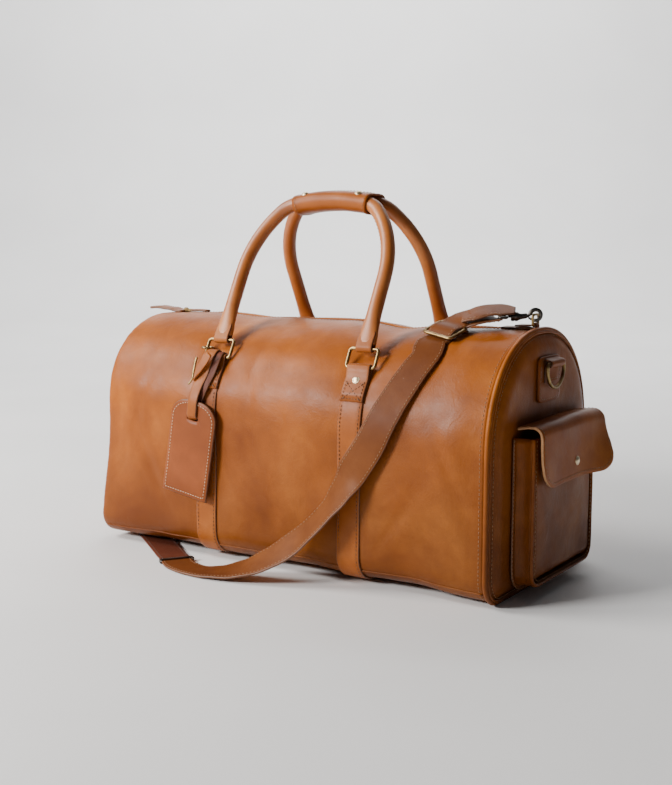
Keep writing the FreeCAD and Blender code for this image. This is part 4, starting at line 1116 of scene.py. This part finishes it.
def flap():
    low, high = mm("pocket_flap")
    hinge = joint_mm("pocket_flap_open")
    front = high.x
    b = Builder()
    y0, y1 = low.y, high.y
    skin_t = 2.8
    columns, rows_n = 60, 46
    crest_x = front - 11.0
    drop = hinge.z + 1.5 - low.z
    long = (crest_x - hinge.x) + 19.0 + (drop - 12.0)
    corner = 30.0

    def at(u, d):
        """A point of the flap's outer face: u from 0 to 1 across, d along it from the hinge."""
        y = y0 + (y1 - y0) * u
        shelf = crest_x - hinge.x
        if d < shelf:
            x, z = hinge.x + d, hinge.z + 1.2 + 2.0 * math.sin(math.pi * d / shelf / 2)
        elif d < shelf + 19.0:
            a = (d - shelf) / 19.0 * math.pi / 2
            x, z = crest_x + 12.0 * math.sin(a), hinge.z + 3.2 - 12.0 * (1 - math.cos(a))
        else:
            x, z = crest_x + 12.0, hinge.z + 3.2 - 12.0 - (d - shelf - 19.0)
        free = smooth01((d - shelf) / (long - shelf))
        far = smooth01((u - 0.45) / 0.55)
        x += free ** 1.6 * (1.5 + 15.0 * far ** 2.5)
        x += 1.1 * free * wobble(y, z, 7.0, 0.022)
        z += 1.0 * wobble(y, d, 2.0, 0.018) - 1.6 * (1 - free) * (abs(2 * u - 1) ** 4)
        return Vector((x, y, z))

    grid = []
    for i in range(rows_n + 1):
        row = []
        for k in range(columns + 1):
            u, t = k / columns, i / rows_n
            y = (y1 - y0) * u
            inset = min(y, (y1 - y0) - y)
            limit = long
            if inset < corner:
                limit = long - corner + math.sqrt(max(corner ** 2 - (corner - inset) ** 2, 0.0))
            row.append(at(u, -1.0 + (limit + 1.0) * t))
        grid.append(row)
    b.grid(grid)
    obj = b.done("pocket_flap_leather", "pocket_flap_body", [STRAP, THREAD, PALE_EDGE], ["pocket_flap"], solid=skin_t)
    obj.modifiers["thickness"].material_offset_rim = 2
    b = Builder()
    line, outs = [], []
    for k in range(121):
        t = k / 120
        path_len = 2 * (long - corner) + (y1 - y0 - 2 * corner) + math.pi * corner
        d = t * path_len
        ins = 4.2
        leg = long - corner
        if d < leg:
            y, dd = ins, d
        elif d < leg + math.pi * corner / 2:
            a = (d - leg) / corner
            y, dd = corner - (corner - ins) * math.cos(a), leg + (corner - ins) * math.sin(a)
        elif d < leg + math.pi * corner / 2 + (y1 - y0 - 2 * corner):
            y, dd = corner + d - leg - math.pi * corner / 2, long - ins
        elif d < leg + math.pi * corner + (y1 - y0 - 2 * corner):
            a = math.pi / 2 - (d - leg - math.pi * corner / 2 - (y1 - y0 - 2 * corner)) / corner
            y, dd = (y1 - y0) - corner + (corner - ins) * math.cos(a), leg + (corner - ins) * math.sin(a)
        else:
            y, dd = (y1 - y0) - ins, path_len - d
        u = y / (y1 - y0)
        p = at(u, dd)
        n = (at(u, dd + 1) - at(u, dd - 1)).cross(at(u + 0.01, dd) - at(u - 0.01, dd)).normalized()
        if n.x + n.z < 0:
            n = -n
        line.append(p + n * 0.1)
        outs.append(n)
    b.stitches(line, outs, slot=0)
    b.done("pocket_flap_stitches", "pocket_flap_body", [THREAD])
    snap_low, snap_high = mm("pocket_snap_cap")
    centre = (snap_low + snap_high) / 2
    u = (centre.y - y0) / (y1 - y0)
    d = long - (centre.z - low.z)
    p = at(u, d)
    b = Builder()
    b.dome(p + Vector((0.1, 0, 0)), Vector((1, 0, 0.05)).normalized(), 4.8, 1.9, rim=0.8)
    b.done("pocket_snap_button", "pocket_flap_body", [BRIGHT], ["pocket_snap_cap"])


# ------------------------------------------------------------------ luggage tag
def tag():
    low, high = mm("tag_leaves")
    pivot = joint_mm("tag_swing")
    tilt = math.radians(9.0)
    right = Vector((math.cos(tilt), 0, -math.sin(tilt)))
    down = Vector((-math.sin(tilt), 0, -math.cos(tilt)))
    out = Vector((0, -1, 0))
    half, top, bottom, arch = 33.0, -21.0, 93.0, 20.0

    def edge(inset, count=18):
        """The tag's outline as (across, down) from the slot, drawn in by inset."""
        points = []
        w, r = half - inset, arch - inset * 0.6
        for k in range(count + 1):
            a = math.pi * (1 - k / count)
            points.append((w * math.copysign(abs(math.cos(a)) ** 0.75, math.cos(a)),
                           top + arch - r * abs(math.sin(a)) ** 1.15 + inset * 0.4))
        for k in range(1, 15):
            points.append((w, top + arch + (bottom - inset - top - arch) * k / 15))
        for k in range(13):
            points.append((w - 2 * w * k / 12, bottom - inset))
        for k in range(1, 15):
            points.append((-w, bottom - inset - (bottom - inset - top - arch) * k / 15))
        return points

    def slot_edge(count):
        points = []
        for k in range(count):
            a = math.pi * (1 - 2 * k / count)
            points.append((8.2 * math.copysign(abs(math.cos(a)) ** 0.5, math.cos(a)),
                           -2.7 * math.copysign(abs(math.sin(a)) ** 0.5, math.sin(a))))
        return points

    thick = 3.4
    mid_y = (low.y + high.y) / 2
    count = len(edge(0))
    hole = slot_edge(count)
    b = Builder()
    rings = []
    for inset, w in ((0.9, -thick / 2), (0.0, -thick / 2 + 0.9), (0.0, thick / 2 - 0.9), (0.9, thick / 2)):
        rings.append([(a, c, w) for a, c in edge(inset)])
    outer = rings[-1]
    for f in (0.25, 0.5, 0.75, 0.94):
        rings.append([((a * (1 - f) + h[0] * f), (c * (1 - f) + h[1] * f), thick / 2)
                      for (a, c, _), h in zip(outer, hole)])
    rings.append([(a, c, thick / 2) for a, c in hole])
    rings.append([(a, c, -thick / 2) for a, c in hole])
    inner = rings[0]
    for f in (0.94, 0.75, 0.5, 0.25):
        rings.append([((a * (1 - f) + h[0] * f), (c * (1 - f) + h[1] * f), -thick / 2)
                      for (a, c, _), h in zip(inner, hole)])
    rings.append(inner)

    def place(a, c, w):
        bow = 1.3 * (c / 90.0) ** 2 + 0.4 * wobble(a, c, 5.0, 0.04)
        return Vector((pivot.x, mid_y, pivot.z)) + right * a + down * c + out * (w + bow)

    rows = [[place(*p) for p in ring] for ring in rings]
    b.grid(rows, wrap=True)
    for i in range(len(b.slots)):
        if i // count in (0, 1, 2):
            b.slots[i] = 2
    for face in (1, -1):
        line = [place(a, c, face * (thick / 2 + 0.12)) for a, c in edge(4.0)]
        b.stitches(line, [out * face] * len(line), closed=True, pitch=3.8, long=2.7, radius=0.5)
    b.done("luggage_tag_leather", "luggage_tag", [TAG, PALE_THREAD, EDGE], ["tag_leaves"])
    # the strap hung over the ring's lower bar, down to the slot, through it and back up
    front_y = mid_y - thick / 2 - 1.6

    def hanger(path, across):
        outs = []
        for i in range(len(path)):
            along = tangent(path, i)
            outs.append(along.cross(across).normalized())
        return spline(path, outs, 2.4)

    bar = joint_mm("front_ring_swing")
    ring_low, ring_high = mm("front_left_ring")
    ring_x = (ring_low.x + ring_high.x) / 2
    away = Vector((0, bar.y, bar.z - ARCH)).normalized()
    climb = Vector((0, -away.z, away.y)) * -1
    climb = climb if climb.z > 0 else -climb

    def hook(x, radius, degrees):
        a = math.radians(degrees)
        return Vector((x, bar.y, bar.z)) + (away * math.cos(a) + climb * math.sin(a)) * radius

    first_x, last_x = ring_x - 5.0, ring_x + 3.5
    path = [hook(first_x, 7.6, a) for a in (120, 90, 60, 30, 0)]
    path += [hook(first_x, 7.6, 0) - climb * 8.0 + Vector((-0.5, 0, 0)),
             Vector((first_x - 2.5, -117.4, 216.0)), Vector((first_x - 4.4, -125.6, 202.0)),
             Vector((pivot.x + 1.6, front_y + 1.4, 189.0)), Vector((pivot.x + 0.8, front_y - 0.2, 177.0)),
             Vector((pivot.x, front_y, pivot.z + 2.8)), Vector((pivot.x, mid_y - 1.0, pivot.z - 0.2)),
             Vector((pivot.x, mid_y + 3.0, pivot.z + 1.6)), Vector((pivot.x, mid_y + 3.8, pivot.z + 10.0)),
             Vector((pivot.x + 4.4, mid_y + 4.6, 190.0)), Vector((pivot.x + 9.6, mid_y + 6.6, 203.0)),
             Vector((last_x - 2.6, -115.6, 217.0)), hook(last_x, 5.5, 0) - climb * 9.0]
    path += [hook(last_x, 5.5, a) for a in (0, 30, 60, 90, 115)]
    points, outs = hanger(path, Vector((1, 0, 0)))

    def width(i):
        down = smooth01((238.0 - points[i].z) / 60.0)
        return strap_section(17.0 - 3.5 * down, 1.9, 0.2)[0]

    b = Builder()
    slots = strap_section(14.0, 1.9, 0.2)[1]
    turn = next(i for i, p in enumerate(points) if p.y > mid_y + 2.0 and p.z < pivot.z + 6.0)
    frames = flat_frames(points, outs)
    b.sweep(frames[:turn + 1], width, slots=slots)
    # the strand that comes back up behind the tag shows the strap's reverse side in the dark leather: partly its own
    # colour, partly painted shade behind the tag
    b.sweep(frames[turn:], lambda i: width(i + turn), slots=[2 if s else 3 for s in slots])
    b.done("tag_strap_leather", "tag_hanger", [STRAP, THREAD, EDGE, DARK], ["tag_strap"])
    b_low, b_high = mm("tag_buckle")
    b = Builder()
    cx, cy, cz = (b_low.x + b_high.x) / 2 + 15.0, b_low.y + 3.0, (b_low.z + b_high.z) / 2 + 9.0
    down = Vector((-0.10, -0.22, -0.97)).normalized()
    across = Vector((1, 0, -0.06)).normalized()
    facing = across.cross(down) * -1
    bar = [Vector((cx, cy, cz)) + across * a + down * c for a, c in
           ((0.4, -13), (0, -9), (-0.2, 0), (0.3, 8), (1.0, 12))]
    points, outs = spline(bar, [facing] * len(bar), 2.0)
    b.sweep(flat_frames(points, outs), ellipse(1.7, 1.1, 12))
    tail = [Vector((cx, cy, cz)) + across * a + down * c for a, c in ((1.2, 6), (0.4, 12), (-1.8, 17), (-3.6, 19.5))]
    points, outs = spline(tail, [facing] * len(tail), 1.5)
    b.sweep(flat_frames(points, outs), ellipse(1.1, 0.9, 10))
    wedge = [Vector((cx, cy, cz)) + across * a + down * c + facing * -0.6 for a, c in
             ((17.0, -19), (13.5, -12), (9.5, -5), (6.0, 2), (3.0, 9), (1.6, 14))]
    points, outs = spline(wedge, [facing] * len(wedge), 2.0)
    last = len(points) - 1
    b.sweep(flat_frames(points, outs), lambda i: strap_section(2.5 + 7.5 * math.sin(math.pi * (0.25 + 0.7 * i / last)),
                                                               1.6, 0.1, 0.6)[0], slot=1)
    b.done("tag_buckle_hook", "tag_hanger", [BRASS, STRAP], ["tag_buckle"])


# ------------------------------------------------------------------ shoulder strap
def on_front(x, down, out):
    """The skin at x, at a length down the front from the ridge, and its normal."""
    return skin(x, max(down - DEPTH * (math.pi / 2 - TOP_ANGLE), 0.0), out)


def buckle_frame():
    low, high = mm("strap_slide_buckle")
    a = 48.0 / DEPTH
    n = Vector((0, -math.sin(a), math.cos(a)))
    centre = Vector(((low.x + high.x) / 2, 0, ARCH)) + n * (DEPTH + 10.0)
    turn = math.radians(20.0)
    level = Vector((1, 0, 0)).cross(n)
    across = (Vector((1, 0, 0)) * math.cos(turn) + level * math.sin(turn)).normalized()
    along = across.cross(n).normalized()
    if along.y < 0:
        along = -along
    return centre, across, along, n


STRAP_W = 36.0


def shoulder_strap():
    centre, across, along, n = buckle_frame()

    def bp(v, h):
        return centre + along * v + n * h

    front = [(bp(-2, -6.5), n), (bp(-10, -6.0), n), (bp(-22, -4.6), n)]
    front += [on_front(167, 84, 3.0), on_front(161, 105, 2.6), on_front(151, 132, 3.4),
              on_front(139, 160, 5.4), on_front(125, 188, 8.4), on_front(108, 214, 11.0)]
    for p, o in (((92, -134, 106), (-0.3, -0.85, 0.35)), ((76, -138, 83), (-0.45, -0.7, 0.52)),
                 ((58, -144, 62), (-0.4, -0.68, 0.58)), ((37, -152, 42), (-0.22, -0.72, 0.66)),
                 ((12, -161, 25), (-0.1, -0.55, 0.83)), ((-18, -169, 12), (0, -0.3, 0.95)),
                 ((-50, -174, 5), (0, -0.1, 1)), ((-78, -173, 2.2), (0, 0, 1)),
                 ((-106.6, -164.8, 2.2), (0, 0, 1)), ((-121, -154, 2.7), (0, 0, 1))):
        front.append((Vector(p), Vector(o).normalized()))
    points, outs = through(front, 5.0)
    strap_piece("shoulder_strap_run", points, outs, STRAP_W, 2.4, ["shoulder_strap_front"],
                [SHOULDER, THREAD, EDGE])
    b = Builder()
    spot, side, face = flat_frames(points, outs)[int(len(points) * 0.15)]
    # a punched hole drawn as a dark cap of the cut-edge colour: its own cut edge, and painted shade for the hole's
    # inside
    b.dome(spot + face * 0.75 + side * 4.0, face, 1.9, 0.75, rim=0.1)
    b.done("strap_holes", "bag", [EDGE])
    keeper = Vector((-121, -154, 2.9))
    ahead = Vector((-0.8, 0.6, 0))
    rear = [(keeper + ahead * 0.5, Vector((0, 0, 1)))]
    hook = joint_mm("left_hook_swivel")
    bar_z = mm("left_hook_eye")[0].z + 1.6
    for p, o in (((-145, -136, 1.7), (0, 0, 1)), ((-177, -112, 1.5), (0, 0, 1)), ((-209, -88.5, 1.5), (0, 0, 1)),
                 ((-240, -66, 1.6), (0, 0, 1)), ((-270, -45, 2.4), (0, 0, 1)), ((-291, -31, 7.5), (0.45, 0, 1)),
                 ((-305, -22, 18), (0.9, 0, 0.5)), ((-311, -14, 42), (1, 0, 0.15)), ((-311, -7, 75), (1, 0, 0)),
                 ((-306, -2, 110), (1, 0, -0.12)), ((-297, 0, 140), (1, 0, -0.25)), ((-285, 0, 162), (1, 0, -0.4))):
        rear.append((Vector(p), Vector(o).normalized()))
    for a in (0, 45, 90, 135, 180):
        t = math.radians(a)
        rear.append((Vector((hook.x - 3.0 * math.cos(t), 0, bar_z + 3.0 * math.sin(t))),
                     Vector((math.cos(t), 0, -math.sin(t)))))
    rear.append((Vector((hook.x + 3.0, 0, bar_z - 14)), Vector((-1, 0, 0))))
    points, outs = through(rear, 5.0)
    strap_piece("shoulder_strap_tail", points, outs, STRAP_W - 1.0, 2.2, ["shoulder_strap_rear"],
                [DARK, DARK_THREAD, DARK], (1, -1))
    # over the buckle's bar, up to the hook's eye, around it and back
    turn = math.radians(25.0)
    out_x = Vector((math.cos(turn), math.sin(turn), 0))
    hook = joint_mm("right_hook_swivel")
    ring = joint_mm("top_ring_rock")
    eye = Vector((ring.x, 0, mm("right_hook_eye")[0].z + 1.6)) - out_x * 38.0
    rise = Vector((0, 0, 1))
    tilt = Vector((-0.08, -0.33, 0.94)).normalized()
    loop = [(bp(-12, -3.4), n), (bp(-7, 0.4), n), (bp(0, 2.9), n), (bp(7, 1.4), n), (bp(14, 0.2), n),
            (bp(23, 1.6) + rise * 1.5, tilt), (eye - out_x * 22 + rise * 3.2 - Vector((0, 2, 0)), tilt),
            (eye - out_x * 11 + rise * 4.6, (rise + tilt).normalized()), (eye - out_x * 4 + rise * 3.7, rise)]
    for a in (90, 45, 0, -45, -90):
        s, c = math.sin(math.radians(a)), math.cos(math.radians(a))
        loop.append((eye + out_x * (3.1 * c) + rise * (3.1 * s), out_x * c + rise * s))
    loop += [(eye - out_x * 4 - rise * 3.4, -rise), (eye - out_x * 11 - rise * 2.4, -(rise + tilt).normalized()),
             (eye - out_x * 22 - rise * 2.6 - Vector((0, 1, 0)), -tilt), (bp(21, -5.2), -n), (bp(12, -7.2), -n),
             (bp(-2, -7.0), -n)]
    points, outs = through(loop, 3.0)
    strap_piece("shoulder_strap_top", points, outs, STRAP_W - 1.0, 2.3, ["shoulder_strap_loop"],
                [SHOULDER, THREAD, EDGE])
    # the strap's cut end lies over the hook's swivel
    tongue = [(eye + out_x * a + rise * h - Vector((0, s, 0)), tilt) for a, h, s in
              ((-30, 0.6, 2.6), (-20, 5.0, 1.4), (-10, 6.6, 0.6), (0, 7.0, 0), (9, 6.8, 0), (17, 6.3, 0))]
    points, outs = through(tongue, 2.0)
    last = len(points) - 1
    b = Builder()
    b.sweep(flat_frames(points, outs),
            lambda i: strap_section(STRAP_W - 2.0 - 16.0 * max(0.0, i / last - 0.66) ** 1.5 / 0.2, 2.2)[0],
            slots=strap_section(30.0, 2.2)[1])
    b.done("shoulder_strap_end", "bag", [SHOULDER, THREAD, EDGE])
    b = Builder()
    w = STRAP_W / 2 + 2.6
    corners = [centre + across * u + along * v for u, v in ellipse(w, 13.0, 72, 9.0)]
    b.sweep(ring_frames(corners, n), ellipse(2.1, 1.4, 10, 3.0), ring=True)
    b.sweep([(centre + across * u, along, n) for u in (-w + 0.6, 0, w - 0.6)], ellipse(1.5, 1.3, 10))
    b.done("slide_buckle_frame", "bag", [BRASS], ["strap_slide_buckle"])
    b = Builder()
    side = Vector((-ahead.y, ahead.x, 0))
    corners = [keeper + side * u + Vector((0, 0, v)) for u, v in ellipse(STRAP_W / 2 + 1.6, 2.25, 48, 7.0)]
    b.sweep(ring_frames(corners, ahead), ellipse(0.62, 2.8, 10, 4.0), ring=True)
    b.done("strap_keeper_bar", "bag", [DARK_METAL_AND_SHADE], ["strap_keeper"])


def snap_hook(side):
    """The cast body of a swivel hook: barrel, shank and bow in one, a little fuller than its core."""
    low, high = mm(side + "_hook_body")
    if side == "right":
        turn = math.radians(25.0)
        ahead, up = Vector((math.cos(turn), math.sin(turn), 0)), Vector((0, 0, 1))
        centre = Vector((joint_mm("top_ring_rock").x, 0, high.z - 6.8))
    else:
        ahead, up = Vector((0, 0, 1)), Vector((-1, 0, 0))
        centre = Vector((low.x + 6.8, 0, high.z - 6.8))
    axis = joint_mm(side + "_hook_swivel") - centre
    drop = axis.dot(up)
    across = ahead.cross(up)

    def at(a, h):
        return centre + ahead * a + up * h

    b = Builder()
    path, radii = [], []
    for a, r in ((-26.2, 1.5), (-26.0, 4.2), (-25.2, 5.0), (-23.0, 5.0), (-22.2, 4.4), (-21.4, 5.0), (-19.0, 5.0),
                 (-17.6, 3.9), (-16.0, 3.3)):
        path.append((at(a, drop), across, up))
        radii.append(r)
    for a, h, r in ((-13.0, drop * 0.8, 3.0), (-9.5, drop * 0.45, 2.9)):
        path.append((at(a, h), across, up))
        radii.append(r)
    for degrees in range(180, -113, -12):
        angle = math.radians(degrees)
        away = ahead * math.cos(angle) + up * math.sin(angle)
        path.append((centre + away * 5.7, across, away))
        radii.append(2.4 - 0.5 * (180 - degrees) / 292)
    b.sweep(path, lambda i: ellipse(radii[i], radii[i], 18))
    b.done(side + "_hook_casting", side + "_hook", [DARK_METAL_AND_SHADE], [side + "_hook_body"])


# ------------------------------------------------------------------ floor and light
def stage():
    mesh = bpy.data.meshes.new("floor")
    # (distance behind the bag, height): level paper that sweeps up behind
    profile = [(-4.2, 0.0), (2.2, 0.0), (2.9, 0.06), (3.5, 0.35), (3.85, 0.9), (3.95, 1.8), (3.95, 6.0)]
    a = VIEW_TURN
    ahead, side = Vector((-math.sin(a), math.cos(a), 0)), Vector((math.cos(a), math.sin(a), 0))
    verts = []
    for d, z in profile:
        for s in (-4.2, 4.2):
            verts.append(ahead * d + side * s + Vector((0, 0, z)))
    faces = [(2 * i, 2 * i + 1, 2 * i + 3, 2 * i + 2) for i in range(len(profile) - 1)]
    mesh.from_pydata(verts, [], faces)
    for polygon in mesh.polygons:
        polygon.use_smooth = True
    floor = bpy.data.objects.new("floor", mesh)
    bpy.context.scene.collection.objects.link(floor)
    n = Nodes("floor_paper")
    n.link(n.ramp(n.noise(3.0, 2.0), [(0.3, (0.80, 0.795, 0.79)), (0.7, (0.84, 0.835, 0.83))]),
           n.bsdf.inputs["Base Color"])
    n.set(Roughness=0.75)
    mesh.materials.append(n.mat)


def area(name, place, target, size, power, colour=(1, 1, 1)):
    data = bpy.data.lights.new(name, "AREA")
    data.shape = "RECTANGLE"
    data.size, data.size_y = size
    data.energy = power
    data.color = colour
    lamp = bpy.data.objects.new(name, data)
    lamp.location = place
    lamp.rotation_euler = (Vector(place) - Vector(target)).to_track_quat("Z", "Y").to_euler()
    bpy.context.scene.collection.objects.link(lamp)


def lights():
    world = bpy.data.worlds.new("studio")
    bpy.context.scene.world = world
    world.use_nodes = True
    nodes, links = world.node_tree.nodes, world.node_tree.links
    nodes["Background"].inputs["Color"].default_value = (0.92, 0.95, 1.0, 1.0)
    nodes["Background"].inputs["Strength"].default_value = 0.08
    # beyond the paper the camera sees a pale wall, which adds no light
    wall = nodes.new("ShaderNodeBackground")
    wall.inputs["Color"].default_value = (1.0, 0.99, 0.98, 1.0)
    wall.inputs["Strength"].default_value = 0.42
    seen, pick = nodes.new("ShaderNodeLightPath"), nodes.new("ShaderNodeMixShader")
    links.new(seen.outputs["Is Camera Ray"], pick.inputs[0])
    links.new(nodes["Background"].outputs[0], pick.inputs[1])
    links.new(wall.outputs[0], pick.inputs[2])
    links.new(pick.outputs[0], nodes["World Output"].inputs["Surface"])
    area("key", (-1.45, -0.85, 1.6), (-0.1, 0, 0.15), (0.9, 0.8), 44, (1.0, 0.97, 0.93))
    area("sheen", (-1.35, -2.05, 1.15), (0.0, -0.1, 0.2), (0.75, 0.42), 92, (1.0, 0.98, 0.96))
    area("back", (0.0, 1.9, 2.0), (-0.1, 0, 0.25), (1.6, 1.0), 8)
    area("backdrop", (-1.2, 1.7, 3.0), (-2.1, 3.6, 0.9), (2.6, 1.6), 175)


# ------------------------------------------------------------------ CAD nodes that stay
def dress(node, material):
    obj = frame["nodes"][node]
    obj.data.materials.clear()
    obj.data.materials.append(material)


make_camera()
stage()
lights()
panel("front_leather", "front_body_panel", 0.0, LEN_PANEL, 128)
panel("rear_leather", "rear_body_panel", LEN_AROUND - LEN_PANEL, LEN_AROUND, 128)
panel("base_leather", "bottom_panel", LEN_PANEL, LEN_AROUND - LEN_PANEL, 64)
stitch_panel_edges()
for end in (-1, 1):
    end_panel(end)
    ring_tab(end)
    handle(end)
zipper()
zipper_tabs()
zipper_pull()
for strap_side, strap_x in STRAP_X.items():
    body_strap(strap_side, strap_x)
rivets()
grip_wrap()
pocket()
flap()
tag()
shoulder_strap()
snap_hook("right")
snap_hook("left")
for kept in ("front_left_ring", "front_right_ring", "rear_left_ring", "rear_right_ring", "right_d_ring",
             "left_d_ring", "zipper_slider", "zipper_pull", "tag_link", "right_top_ring", "pocket_snap_stud"):
    dress(kept, BRASS)
# the hooks' dark metal is painted shade over their brass
for kept in ("right_hook_eye", "right_hook_gate", "left_hook_eye", "left_hook_gate"):
    dress(kept, DARK_METAL_AND_SHADE)
dress("base_board", BOARD)
dress("lining", LINING)
dress("front_handle_core", FOAM)
dress("rear_handle_core", FOAM)
